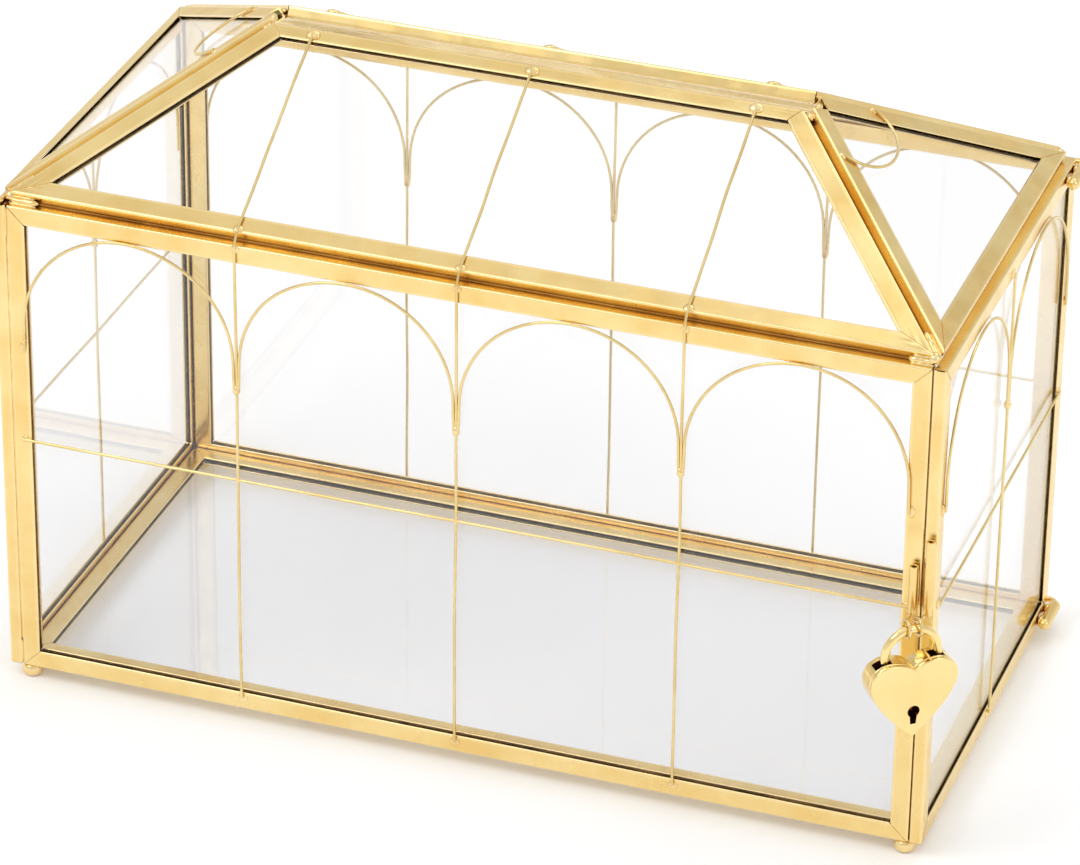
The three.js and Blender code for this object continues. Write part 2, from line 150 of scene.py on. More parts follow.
def makeStudio(s):
    world = bpy.data.worlds.new("studio")
    world.use_nodes = True
    scene.world = world
    tree = world.node_tree
    background = tree.nodes["Background"]
    direction = add(tree, "ShaderNodeTexCoord").outputs["Generated"]
    height = add(tree, "ShaderNodeSeparateXYZ", {0: direction}).outputs["Z"]
    ramp = add(tree, "ShaderNodeValToRGB", {0: height})
    ramp.color_ramp.interpolation = "EASE"
    while len(ramp.color_ramp.elements) < len(s["sky"]):
        ramp.color_ramp.elements.new(0.5)
    for stop, (place, shade) in zip(ramp.color_ramp.elements, s["sky"]):
        stop.position = place
        stop.color = (shade, shade, shade, 1)
    tree.links.new(ramp.outputs[0], background.inputs["Color"])
    for name, (place, size, watts) in s["lamps"].items():
        light = bpy.data.lights.new(name, "AREA")
        light.shape = "RECTANGLE"
        light.size, light.size_y = size
        light.energy = watts
        lamp = bpy.data.objects.new(name, light)
        lamp.location = caseMiddle + Vector(place)
        lamp.rotation_euler = Vector(place).to_track_quat("Z", "Y").to_euler()
        scene.collection.objects.link(lamp)
    half = s["floorSize"] / 2
    corners = [(-half, -half, 0), (half, -half, 0), (half, half, 0), (-half, half, 0)]
    mesh = bpy.data.meshes.new("floor")
    mesh.from_pydata(corners, [], [(0, 1, 2, 3)])
    floor = bpy.data.objects.new("floor", mesh)
    scene.collection.objects.link(floor)
    paper = bpy.data.materials.new("floorPaper")
    paper.use_nodes = True
    shader = paper.node_tree.nodes["Principled BSDF"]
    shader.inputs["Base Color"].default_value = (s["floorTone"], s["floorTone"], s["floorTone"], 1)
    shader.inputs["Roughness"].default_value = s["floorRough"]
    shader.inputs["Emission Color"].default_value = (1, 1, 1, 1)
    shader.inputs["Emission Strength"].default_value = s["floorGlow"]
    mesh.materials.append(paper)


makeCamera(viewpoint)
makeStudio(studio)
scene.view_settings.view_transform = "Standard"
print("camera, floor and light ready")


# shader node groups that more than one finish uses

def newGroup(name, inputs, outputs):
    # a group that works on a place; four numbers make a colour socket
    group = bpy.data.node_groups.new(name, "ShaderNodeTree")
    group.interface.new_socket("Vector", in_out="INPUT", socket_type="NodeSocketVector")
    for label, value in inputs.items():
        kind = "NodeSocketColor" if isinstance(value, tuple) else "NodeSocketFloat"
        group.interface.new_socket(label, in_out="INPUT", socket_type=kind).default_value = value
    for label in outputs:
        kind = "NodeSocketColor" if label == "Color" else "NodeSocketFloat"
        group.interface.new_socket(label, in_out="OUTPUT", socket_type=kind)
    return group, add(group, "NodeGroupInput").outputs, add(group, "NodeGroupOutput").inputs


def math2(tree, operation, a, b):
    return result(tree, "ShaderNodeMath", {0: a, 1: b}, operation=operation)


def mixedColour(tree, share, first, second):
    mix = add(tree, "ShaderNodeMix", {"Factor": share, 6: first, 7: second}, data_type="RGBA")
    return mix.outputs[2]


def brassToneGroup():
    # plated brass isn't one colour: broad drifts of tone, and darker, browner where the surface is hemmed
    # in: painted shade in the seams, partly also polish that collects there
    group, given, out = newGroup("brassTone", {
        "Light": (1, 0.8, 0.4, 1), "Deep": (0.8, 0.5, 0.2, 1), "Seam": (0.3, 0.12, 0.02, 1),
        "Drift Scale": 60, "Seam Reach": 0.002, "Seam Amount": 0.7}, ["Color", "Seam Mask"])
    drift = add(group, "ShaderNodeTexNoise", {"Vector": given["Vector"], "Scale": given["Drift Scale"],
                                              "Detail": 3, "Roughness": 0.55}).outputs["Fac"]
    sharp = add(group, "ShaderNodeMapRange", {"Value": drift, "From Min": 0.35, "From Max": 0.68})
    tone = mixedColour(group, sharp.outputs[0], given["Light"], given["Deep"])
    # painted shade: the seam colour is mixed in where the ambient occlusion finds the surface enclosed
    shelter = add(group, "ShaderNodeAmbientOcclusion", {"Distance": given["Seam Reach"]}, samples=6)
    closed = result(group, "ShaderNodeMapRange", {"Value": shelter.outputs["AO"], "From Min": 0.55,
                                                  "From Max": 0.1})
    mask = math2(group, "MULTIPLY", closed, given["Seam Amount"])
    mixed = mixedColour(group, mask, tone, given["Seam"])
    group.links.new(mixed, out["Color"])
    group.links.new(mask, out["Seam Mask"])
    return group


def handlingGroup():
    # finger smudges and fine rub marks left by handling
    group, given, out = newGroup("handling", {
        "Smudge Scale": 90, "Rub Scale": 900, "Base Roughness": 0.2, "Smudge Roughness": 0.12,
        "Rub Roughness": 0.05}, ["Roughness", "Height"])
    smudge = add(group, "ShaderNodeTexNoise", {"Vector": given["Vector"], "Scale": given["Smudge Scale"],
                                               "Detail": 4, "Distortion": 0.6}).outputs["Fac"]
    patch = result(group, "ShaderNodeMapRange", {"Value": smudge, "From Min": 0.42, "From Max": 0.66})
    rub = add(group, "ShaderNodeTexNoise", {"Vector": given["Vector"], "Scale": given["Rub Scale"],
                                            "Detail": 2}).outputs["Fac"]
    both = math2(group, "MULTIPLY", patch, given["Smudge Roughness"])
    fine = math2(group, "MULTIPLY", rub, given["Rub Roughness"])
    rough = math2(group, "ADD", math2(group, "ADD", given["Base Roughness"], both), fine)
    group.links.new(rough, out["Roughness"])
    group.links.new(rub, out["Height"])
    return group


def drawLinesGroup():
    # long fine lines that the drawing die leaves along a strip
    group, given, out = newGroup("drawLines", {"Along": 14, "Across": 2600}, ["Height"])
    stretch = result(group, "ShaderNodeCombineXYZ", {0: given["Along"], 1: given["Across"], 2: 1})
    place = result(group, "ShaderNodeVectorMath", {0: given["Vector"], 1: stretch}, operation="MULTIPLY")
    lines = add(group, "ShaderNodeTexNoise", {"Vector": place, "Scale": 1, "Detail": 3, "Roughness": 0.7})
    group.links.new(lines.outputs["Fac"], out["Height"])
    return group


brassTone = brassToneGroup()
handling = handlingGroup()
drawLines = drawLinesGroup()


def placeGroup(tree, group, inputs):
    return add(tree, "ShaderNodeGroup", inputs, node_tree=group).outputs


def newMaterial(name):
    material = bpy.data.materials.new(name)
    material.use_nodes = True
    tree = material.node_tree
    return material, tree, tree.nodes["Principled BSDF"]


# in each finish, seam is the colour of the painted shade in seams and hollows
finishes = {
    "cameBrass": {"light": (0.93, 0.72, 0.33), "deep": (0.86, 0.60, 0.22), "seam": (0.42, 0.18, 0.03),
                  "rough": 0.17, "smudge": 0.14, "seamAmount": 0.5, "reach": 1.6 * mm, "bump": 0.05,
                  "worn": 0.6, "wornTone": (1, 0.83, 0.48, 1), "wornPolish": 0.06},
    "solder": {"light": (0.95, 0.76, 0.40), "deep": (0.85, 0.60, 0.26), "seam": (0.40, 0.17, 0.03),
               "rough": 0.12, "smudge": 0.2, "seamAmount": 0.6, "reach": 1.2 * mm, "bump": 0.12},
    "wireBrass": {"light": (0.88, 0.71, 0.35), "deep": (0.76, 0.56, 0.23), "seam": (0.36, 0.2, 0.06),
                  "rough": 0.2, "smudge": 0.15, "seamAmount": 0.5, "reach": 0.8 * mm, "bump": 0.04},
    # dark brown painted shade for the bottom of the case's grooves
    "tarnish": {"light": (0.50, 0.27, 0.07), "deep": (0.34, 0.16, 0.04), "seam": (0.16, 0.06, 0.015),
                "rough": 0.42, "smudge": 0.2, "seamAmount": 0.8, "reach": 1.2 * mm, "bump": 0.1},
    "lockGold": {"light": (0.96, 0.76, 0.36), "deep": (0.93, 0.70, 0.30), "seam": (0.45, 0.2, 0.04),
                 "rough": 0.07, "smudge": 0.07, "seamAmount": 0.5, "reach": 1 * mm, "bump": 0.015},
}
bumpDepth = 0.02 * mm


def metalFinish(name, f, drawn=False):
    material, tree, shader = newMaterial(name)
    shader.inputs["Metallic"].default_value = 1
    place = add(tree, "ShaderNodeTexCoord").outputs["Object"]
    tone = placeGroup(tree, brassTone, {"Vector": place, "Light": (*f["light"], 1), "Deep": (*f["deep"], 1),
                                        "Seam": (*f["seam"], 1), "Seam Reach": f["reach"],
                                        "Seam Amount": f["seamAmount"]})
    hand = placeGroup(tree, handling, {"Vector": place, "Base Roughness": f["rough"],
                                       "Smudge Roughness": f["smudge"]})
    height = hand["Height"]
    colour, rough = tone["Color"], hand["Roughness"]
    if drawn:
        grain = add(tree, "ShaderNodeAttribute", attribute_name="grain").outputs
        wear = add(tree, "ShaderNodeAttribute", attribute_name="wear").outputs["Fac"]
        height = placeGroup(tree, drawLines, {"Vector": grain["Vector"]})["Height"]
        colour = mixedColour(tree, math2(tree, "MULTIPLY", wear, f["worn"]), colour, f["wornTone"])
        rough = math2(tree, "SUBTRACT", rough, math2(tree, "MULTIPLY", wear, f["wornPolish"]))
    bump = add(tree, "ShaderNodeBump", {"Height": height, "Strength": f["bump"], "Distance": bumpDepth})
    tree.links.new(bump.outputs[0], shader.inputs["Normal"])
    tree.links.new(colour, shader.inputs["Base Color"])
    tree.links.new(rough, shader.inputs["Roughness"])
    return material


# colours of the painted shade in the lock's hollows
lockShadeLook = {"light": (0.20, 0.065, 0.03), "deep": (0.10, 0.03, 0.018), "seam": (0.03, 0.01, 0.006),
              "drift": 500, "reach": 1 * mm, "smudgeScale": 700, "rough": 0.4}


def cavityShadeFinish(f):
    # inside of the lock: dark red-brown painted shade for its pockets, keyway and key pin
    material, tree, shader = newMaterial("lockCore")
    shader.inputs["Metallic"].default_value = 1
    place = add(tree, "ShaderNodeTexCoord").outputs["Object"]
    tone = placeGroup(tree, brassTone, {"Vector": place, "Light": (*f["light"], 1), "Deep": (*f["deep"], 1),
                                        "Seam": (*f["seam"], 1), "Drift Scale": f["drift"],
                                        "Seam Reach": f["reach"]})
    hand = placeGroup(tree, handling, {"Vector": place, "Smudge Scale": f["smudgeScale"],
                                       "Base Roughness": f["rough"]})
    tree.links.new(tone["Color"], shader.inputs["Base Color"])
    tree.links.new(hand["Roughness"], shader.inputs["Roughness"])
    return material


glassLook = {"tint": (0.975, 0.975, 0.98, 1), "roughness": 0.01, "ior": 1.5,
             "shadowTint": (0.985, 0.985, 0.988, 1),
             "waveScale": 16, "waveStrength": 0.08, "waveDepth": 1 * mm}


def glassFinish(g):
    material, tree, shader = newMaterial("clearGlass")
    shader.inputs["Base Color"].default_value = g["tint"]
    shader.inputs["Roughness"].default_value = g["roughness"]
    shader.inputs["IOR"].default_value = g["ior"]
    shader.inputs["Transmission Weight"].default_value = 1
    # rolled sheet is never quite flat
    place = add(tree, "ShaderNodeTexCoord").outputs["Object"]
    wave = result(tree, "ShaderNodeTexNoise", {"Vector": place, "Scale": g["waveScale"], "Detail": 1})
    bump = result(tree, "ShaderNodeBump", {"Height": wave, "Strength": g["waveStrength"],
                                           "Distance": g["waveDepth"]})
    tree.links.new(bump, shader.inputs["Normal"])
    # light from the lamps passes straight through to what stands behind the pane
    through = result(tree, "ShaderNodeBsdfTransparent", {"Color": g["shadowTint"]})
    lampRay = add(tree, "ShaderNodeLightPath").outputs["Is Shadow Ray"]
    mixed = result(tree, "ShaderNodeMixShader", {0: lampRay, 1: shader.outputs[0], 2: through})
    tree.links.new(mixed, tree.nodes["Material Output"].inputs["Surface"])
    return material


cameBrass = metalFinish("cameBrass", finishes["cameBrass"], drawn=True)
solderMetal = metalFinish("solder", finishes["solder"])
wireBrass = metalFinish("wireBrass", finishes["wireBrass"])
tarnish = metalFinish("tarnish", finishes["tarnish"])
lockGold = metalFinish("lockGold", finishes["lockGold"])
lockCore = cavityShadeFinish(lockShadeLook)
clearGlass = glassFinish(glassLook)
print("finishes ready")


# Geometry Nodes helpers

def newTree(name, inputs):
    tree = bpy.data.node_groups.new(name, "GeometryNodeTree")
    tree.interface.new_socket("Geometry", in_out="INPUT", socket_type="NodeSocketGeometry")
    for label, value in inputs.items():
        kind = "NodeSocketInt" if isinstance(value, int) else "NodeSocketFloat"
        tree.interface.new_socket(label, in_out="INPUT", socket_type=kind).default_value = value
    tree.interface.new_socket("Material", in_out="INPUT", socket_type="NodeSocketMaterial")
    tree.interface.new_socket("Geometry", in_out="OUTPUT", socket_type="NodeSocketGeometry")
    return tree, add(tree, "NodeGroupInput").outputs


def closeTree(tree, geometry, material):
    whole = result(tree, "GeometryNodeRealizeInstances", {0: geometry})
    smooth = result(tree, "GeometryNodeSetShadeSmooth", {"Geometry": whole})
    painted = result(tree, "GeometryNodeSetMaterial", {"Geometry": smooth, "Material": material})
    add(tree, "NodeGroupOutput", {0: painted})


def grown(tree, source, values):
    # the plain mesh that a tree makes from a source mesh
    host = bpy.data.objects.new("host", source)
    modifier = host.modifiers.new("grow", "NODES")
    modifier.node_group = tree
    for item in tree.interface.items_tree:
        if item.in_out == "INPUT" and item.name in values:
            modifier[item.identifier] = values[item.name]
    scene.collection.objects.link(host)
    mesh = bpy.data.meshes.new_from_object(host.evaluated_get(bpy.context.evaluated_depsgraph_get()))
    bpy.data.objects.remove(host)
    bpy.data.meshes.remove(source)
    return mesh


def chains(lines, closed=False, **fields):
    # a mesh of polylines, with one named number per point for each field
    mesh = bpy.data.meshes.new("lines")
    points, edges = [], []
    for line in lines:
        first = len(points)
        points += [tuple(p) for p in line]
        edges += [(i, i + 1) for i in range(first, len(points) - 1)]
        if closed:
            edges.append((len(points) - 1, first))
    mesh.from_pydata(points, edges, [])
    for name, values in fields.items():
        vectors = hasattr(values[0], "__len__")
        attribute = mesh.attributes.new(name, "FLOAT_VECTOR" if vectors else "FLOAT", "POINT")
        attribute.data.foreach_set("vector" if vectors else "value", np.array(values, np.float32).ravel())
    return mesh


def addPiece(name, mesh, body, replaced=()):
    piece = bpy.data.objects.new(name, mesh)
    mesh.name = name
    scene.collection.objects.link(piece)
    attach(piece, body)
    if replaced:
        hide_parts(*replaced)
    return piece


def meshOf(shape):
    # a plain mesh from a bmesh, which is freed
    mesh = bpy.data.meshes.new("shape")
    shape.to_mesh(mesh)
    shape.free()
    return mesh


def crease(mesh, degrees):
    mesh.set_sharp_from_angle(angle=math.radians(degrees))


def mergedMesh(meshes, material):
    joined = bmesh.new()
    for mesh in meshes:
        joined.from_mesh(mesh)
    whole = meshOf(joined)
    whole.materials.append(material)
    whole.polygons.foreach_set("material_index", [0] * len(whole.polygons))
    for mesh in meshes:
        bpy.data.meshes.remove(mesh)
    return whole


# panels: each pane of glass says where its frame of came lies

came = {
    "depth": 5 * mm,
    "wall": 0.5 * mm,
    "clearance": 0.3 * mm,      # between the glass's edge and the channel's floor
    "edgeRadius": 0.42 * mm,
    "mitreGap": 0.16 * mm,
    "ringStep": 12 * mm,
    "edgeBand": 0.9 * mm,       # wear is kept to bands this wide
    "wearReach": 0.45 * mm,
    "crease": 40,
    "openTip": 2.5 * mm,        # a hip's glass stops short of its tip by this much
}
came["width"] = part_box("front_came_bottom")[1].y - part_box("front_came_bottom")[0].y


def leftOf(start, end):
    along = (end - start).normalized()
    return Vector((-along.y, along.x))


def grownOutline(outline, distances):
    # an anticlockwise outline with each edge moved out by its own distance
    edges = []
    for i, start in enumerate(outline):
        end = outline[(i + 1) % len(outline)]
        inward = leftOf(start, end)
        edges.append((inward, inward.dot(start) - distances[i]))
    corners = []
    for i, (inward, offset) in enumerate(edges):
        before, beforeOffset = edges[i - 1]
        rows = np.array([[before.x, before.y], [inward.x, inward.y]])
        corners.append(Vector(np.linalg.solve(rows, [beforeOffset, offset])))
    return corners


class Panel:
    def __init__(self, name, body):
        self.name, self.body = name, body
        mesh = frame["nodes"][f"{name}_glass"].data
        spots = np.unique(np.round([tuple(v.co) for v in mesh.vertices], 7), axis=0)
        middle = spots.mean(0)
        outward = np.linalg.svd(spots - middle)[2][2]
        if outward @ (middle - np.array(caseMiddle)) < 0:
            outward = -outward
        face = [Vector(p) for p in spots if (p - middle) @ outward > 0]
        self.outward = Vector(outward)
        lowest = sorted(face, key=lambda p: (round(p.z, 5), round(p.y, 5)))[:2]
        self.along = (lowest[1] - lowest[0]).normalized()
        if self.outward.cross(self.along).dot(Vector(middle) - lowest[0]) < 0:
            self.along.negate()
        self.up = self.outward.cross(self.along)
        middle = Vector(middle) - self.outward * came["width"] / 2
        flat = [Vector(((p - middle).dot(self.along), (p - middle).dot(self.up))) for p in face]
        flat.sort(key=lambda p: (math.atan2(p.y, p.x) - math.atan2(-1, -1)) % (2 * math.pi))
        low = min(range(4), key=lambda i: flat[i].y + flat[(i + 1) % 4].y)
        flat = flat[low:] + flat[:low]
        self.sides = [side for side in sides if f"{name}_came_{side}" in frame["nodes"]]
        edge = came["wall"] + came["clearance"]
        pointed = len(self.sides) == 3
        outline = grownOutline(flat, [edge, edge, came["openTip"] if pointed else edge, edge])
        corner = outline[0]
        self.outline = [p - corner for p in outline]
        self.width = self.outline[1].x
        self.height = self.outline[2].y
        self.origin = middle + self.along * corner.x + self.up * corner.y
        self.matrix = Matrix((self.along, self.up, self.outward)).transposed().to_4x4()
        self.matrix.translation = self.origin
        if not self.sides:      # the base's came is one frame of four equal strips
            self.sides = list(sides)
        self.depths = {side: self.depthOf(side) for side in sides if side in self.sides}
        reach = [-self.depths.get(side, 0) for side in sides]
        self.innerCorners = grownOutline(self.outline, reach)

    def at(self, x, y, z=0.0):
        return self.matrix @ Vector((x, y, z))

    def depthOf(self, side):
        # how far the came on one side reaches over the glass
        node = frame["nodes"].get(f"{self.name}_came_{side}")
        if not node:
            return came["depth"]
        inward = self.edges()[sides.index(side)][2]
        way = self.along * inward.x + self.up * inward.y
        places = [v.co.dot(way) for v in node.data.vertices]
        return max(places) - min(places)

    def edges(self):
        found = []
        for i, start in enumerate(self.outline):
            end = self.outline[(i + 1) % 4]
            inward = leftOf(start, end)
            found.append((start, end, inward, inward.dot(start)))
        return found


panelBodies = {"front": "case", "back": "case", "left": "case", "door": "door", "front_roof": "case",
               "back_roof": "case", "right_hip": "case", "left_hip": "case", "base": "case"}
panels = {name: Panel(name, body) for name, body in panelBodies.items()}
for name in panels:
    frame["nodes"][f"{name}_glass"].material_slots[0].material = clearGlass
print("panels read:", {p.name: (round(p.width / mm, 1), round(p.height / mm, 1))
                       for p in panels.values()})


# came: brass U channel, mitred at its corners

def channelSection(depth):
    # the U's outline across the strip, with extra points so that edge wear stays at the edges
    wall, width = came["wall"], came["width"]
    corners = [(depth, wall), (wall, wall), (wall, width - wall), (depth, width - wall),
               (depth, width), (0, width), (0, 0), (depth, 0)]
    near = came["edgeBand"]
    section = []
    for i, corner in enumerate(corners):
        here, after = Vector(corner), Vector(corners[(i + 1) % len(corners)])
        length = (after - here).length
        section.append(here)
        if i > 3 and length > 3 * near:
            section += [here.lerp(after, t) for t in (near / length, 0.5, 1 - near / length)]
    return section


def channelTree():
    tree, given = newTree("channel", {"Length": 0.1, "Ring Step": 0.01, "Edge Radius": 0.0004})
    outline = result(tree, "GeometryNodeMeshToCurve", {"Mesh": given["Geometry"]})
    rounded = result(tree, "GeometryNodeFilletCurve", {"Curve": outline, "Count": 3, "Limit Radius": True,
                                                       "Radius": given["Edge Radius"]}, mode="POLY")
    around = add(tree, "GeometryNodeSplineParameter").outputs["Length"]
    section = add(tree, "GeometryNodeCaptureAttribute")
    section.capture_items.new("FLOAT", "Around")
    tree.links.new(rounded, section.inputs[0])
    tree.links.new(around, section.inputs[1])
    end = result(tree, "ShaderNodeCombineXYZ", {0: given["Length"]})
    line = result(tree, "GeometryNodeCurvePrimitiveLine", {"End": end})
    spaced = result(tree, "GeometryNodeResampleCurve", {"Curve": line, "Length": given["Ring Step"]},
                    mode="LENGTH")
    path = add(tree, "GeometryNodeCaptureAttribute")
    path.capture_items.new("FLOAT", "Along")
    tree.links.new(spaced, path.inputs[0])
    tree.links.new(around, path.inputs[1])
    strip = result(tree, "GeometryNodeCurveToMesh", {"Curve": path.outputs[0], "Fill Caps": True,
                                                     "Profile Curve": section.outputs[0]})
    grain = result(tree, "ShaderNodeCombineXYZ", {0: path.outputs[1], 1: section.outputs[1]})
    mapped = result(tree, "GeometryNodeStoreNamedAttribute",
                    {"Geometry": strip, "Name": "grain", "Value": grain},
                    data_type="FLOAT_VECTOR", domain="POINT")
    closeTree(tree, mapped, given["Material"])
    return tree


channel = channelTree()


def cutBack(strip, place, away):
    found = bmesh.ops.bisect_plane(strip, geom=strip.verts[:] + strip.edges[:] + strip.faces[:],
                                   plane_co=place, plane_no=away, clear_outer=True, dist=1e-6)
    rim = [e for e in found["geom_cut"] if isinstance(e, bmesh.types.BMEdge)]
    if rim:
        bmesh.ops.holes_fill(strip, edges=rim, sides=0)


def stripMesh(panel, side):
    edges = panel.edges()
    start, end, inward, offset = edges[sides.index(side)]
    length = (end - start).length
    depth = panel.depths[side]
    source = chains([[(-p.x, -p.y, 0) for p in channelSection(depth)]], closed=True)
    mesh = grown(channel, source, {"Length": length, "Ring Step": came["ringStep"],
                                   "Edge Radius": came["edgeRadius"], "Material": cameBrass})
    strip = bmesh.new()
    strip.from_mesh(mesh)
    # worn bright along the outer corners of the channel
    wear = strip.verts.layers.float.new("wear")
    grain = strip.verts.layers.float_vector.get("grain")
    for v in strip.verts:
        toEdge = min(math.hypot(v.co.y, min(v.co.z, came["width"] - v.co.z)), abs(depth - v.co.y))
        v[wear] = math.exp(-(toEdge / came["wearReach"]) ** 2)
        v[grain] = v[grain] + Vector((0, 0, 10 * sides.index(side) + len(panel.name)))
    along = (end - start).normalized()
    strip.transform(Matrix(((along.x, inward.x, 0, start.x), (along.y, inward.y, 0, start.y),
                            (0, 0, 1, 0), (0, 0, 0, 1))))
    for other, (_, _, farInward, farOffset) in zip(sides, edges):
        if other == side:
            continue
        if other in panel.sides:
            farDepth = panel.depths[other]
            across = farInward / farDepth - inward / depth
            level = farOffset / farDepth - offset / depth + came["mitreGap"] * across.length
        else:
            across, level = farInward, farOffset
        if across.length < 1e-6:        # the opposite strip, no mitre with it
            continue
        unit = across.normalized()
        cutBack(strip, (unit * (level / across.length)).to_3d(), -unit.to_3d())
    strip.transform(panel.matrix)
    strip.normal_update()
    strip.to_mesh(mesh)
    strip.free()
    crease(mesh, came["crease"])
    return mesh


for panel in panels.values():
    strips = {f"{panel.name}_came_{side}": stripMesh(panel, side) for side in panel.sides}
    if panel.name == "base":
        strips = {"base_came": mergedMesh(strips.values(), cameBrass)}
        crease(strips["base_came"], came["crease"])
    for node, mesh in strips.items():
        addPiece(f"{node}_drawn", mesh, panel.body, [node])
print("came laid")


# Geometry Nodes trees for wire and solder

def wireTree():
    tree, given = newTree("wire", {"Radius": 0.0004, "Sides": 12, "Bend Radius": 0.001})
    path = result(tree, "GeometryNodeMeshToCurve", {"Mesh": given["Geometry"]})
    bent = result(tree, "GeometryNodeFilletCurve", {"Curve": path, "Count": 5, "Limit Radius": True,
                                                    "Radius": given["Bend Radius"]}, mode="POLY")
    section = result(tree, "GeometryNodeCurvePrimitiveCircle", {"Resolution": given["Sides"],
                                                                "Radius": given["Radius"]})
    laid = result(tree, "GeometryNodeCurveToMesh", {"Curve": bent, "Profile Curve": section,
                                                    "Fill Caps": True})
    closeTree(tree, laid, given["Material"])
    return tree


def moved(tree, geometry, lump, scale, amount, seed):
    # pushes a surface in and out by noise, to make it look flowed rather than turned
    place = result(tree, "GeometryNodeInputPosition")
    lumps = add(tree, "ShaderNodeTexNoise", {"Vector": place, "W": seed, "Scale": scale, "Detail": 1},
                noise_dimensions="4D").outputs["Fac"]
    centred = result(tree, "ShaderNodeMath", {0: lumps, 1: 0.5}, operation="SUBTRACT")
    size = result(tree, "ShaderNodeMath", {0: centred, 1: lump}, operation="MULTIPLY")
    push = result(tree, "ShaderNodeMath", {0: size, 1: amount}, operation="MULTIPLY")
    normal = result(tree, "GeometryNodeInputNormal")
    offset = result(tree, "ShaderNodeVectorMath", {0: normal, "Scale": push}, operation="SCALE")
    return result(tree, "GeometryNodeSetPosition", {"Geometry": geometry, "Offset": offset})


def beadTree():
    tree, given = newTree("beads", {"Lumpiness": 0.5, "Lump Scale": 700.0, "Seed": 3.0})
    size, turn = (result(tree, "GeometryNodeInputNamedAttribute", {"Name": name}, data_type="FLOAT_VECTOR")
                  for name in ("size", "turn"))
    spin = result(tree, "FunctionNodeEulerToRotation", {0: turn})
    drop = result(tree, "GeometryNodeMeshIcoSphere", {"Radius": 1, "Subdivisions": 3})
    points = result(tree, "GeometryNodeMeshToPoints", {"Mesh": given["Geometry"]})
    placed = result(tree, "GeometryNodeInstanceOnPoints", {"Points": points, "Instance": drop,
                                                           "Rotation": spin, "Scale": size})
    solid = result(tree, "GeometryNodeRealizeInstances", {0: placed})
    girth = add(tree, "ShaderNodeSeparateXYZ", {0: size}).outputs["Z"]
    lumpy = moved(tree, solid, girth, given["Lump Scale"], given["Lumpiness"], given["Seed"])
    closeTree(tree, lumpy, given["Material"])
    return tree


def seamTree():
    # solder run along a seam, thick and thin as "girth" says at each point
    tree, given = newTree("seam", {"Step": 0.0005, "Sides": 14, "Lumpiness": 0.7, "Lump Scale": 500.0,
                                   "Seed": 5.0})
    girth = result(tree, "GeometryNodeInputNamedAttribute", {"Name": "girth"}, data_type="FLOAT")
    path = result(tree, "GeometryNodeMeshToCurve", {"Mesh": given["Geometry"]})
    fine = result(tree, "GeometryNodeResampleCurve", {"Curve": path, "Length": given["Step"]},
                  mode="LENGTH")
    thick = result(tree, "GeometryNodeSetCurveRadius", {"Curve": fine, "Radius": girth})
    section = result(tree, "GeometryNodeCurvePrimitiveCircle", {"Resolution": given["Sides"], "Radius": 1})
    run = add(tree, "GeometryNodeCurveToMesh", {"Curve": thick, "Profile Curve": section,
                                                "Fill Caps": True})
    # some Blenders thicken the run by its curve's radius, others by this input
    if "Scale" in run.inputs:
        tree.links.new(girth, run.inputs["Scale"])
    lumpy = moved(tree, run.outputs[0], girth, given["Lump Scale"], given["Lumpiness"], given["Seed"])
    closeTree(tree, lumpy, given["Material"])
    return tree


wire = wireTree()
beads = beadTree()
seam = seamTree()


# solder waits in lists, one for each body, until every piece has said where it wants some

solderBeads = {body: [] for body in frame["bodies"]}     # place, size, turn
solderRuns = {body: [] for body in frame["bodies"]}      # points, girths
shadeLines = []      # thin dark brown runs at the bottom of the case's grooves: painted shade


def addBead(body, place, size, axes=None):
    turn = axes.to_3x3().to_euler() if axes else (0, 0, 0)
    solderBeads[body].append((Vector(place), Vector(size), tuple(turn)))


def addRun(body, start, end, girth, taper=0.25):
    points, girths = [], []
    steps = 12
    for i in range(steps + 1):
        t = i / steps
        swell = math.sin(math.pi * min(1, max(0, t))) ** taper if 0 < t < 1 else 0.15
        points.append(start.lerp(end, t))
        girths.append(girth * max(0.15, swell))
    solderRuns[body].append((points, girths))


# wires laid over the glass

wires = {
    "radius": 0.4 * mm,
    "sides": 12,
    "crease": 50,
    "bendRadius": 1.1 * mm,
    "end": 3.5 * mm,            # how far in from a panel's edge a wire ends
    "bar": 71 * mm,
    "node": 98 * mm,
    "archTop": 135 * mm,
    "legOffset": 0.8 * mm,
    "legPinch": 0.55 * mm,      # arch legs close in on the upright at the node
    "pinchRise": 3 * mm,        # and have eased out again by this far above it
    "pinchEased": 0.4,
    "overEave": 0.2 * mm,
    "wobble": 0.22 * mm,
    # half sizes of the solder beads, and how far in from an edge some lie
    "nodeBead": (1.0 * mm, 1.45 * mm, 1.0 * mm),
    "pad": (1.5 * mm, 1.15 * mm, 0.5 * mm),
    "crossing": (0.62 * mm, 0.62 * mm, 0.55 * mm),
    "ridgePad": (2.0 * mm, 1.5 * mm, 0.75 * mm),
    "eavePad": (1.5 * mm, 1.3 * mm, 0.6 * mm),
    "wallPad": (1.2 * mm, 1.2 * mm, 0.6 * mm),
    "barPad": (1.3 * mm, 1.1 * mm, 0.55 * mm),
    "archPad": (1.0 * mm, 1.7 * mm, 0.5 * mm),
    "loopPad": (1.0 * mm, 1.2 * mm, 0.55 * mm),
    "ridgeInset": 1.9 * mm,
    "eaveInset": 0.9 * mm,
    "footPadDrop": 0.4 * mm,
    "archPadRise": 0.6 * mm,
    "ridgePadLift": 0.1 * mm,
    "eavePadLift": 0.05 * mm,
    "loopHalfWidth": 13.7 * mm,
    "loopDrop": 11.5 * mm,
    "loopHeight": 48.5 * mm,
}
wires["lift"] = came["width"] + 0.55 * mm       # heights of uprights and bars over the pane
wires["barLift"] = came["width"] + wires["radius"]


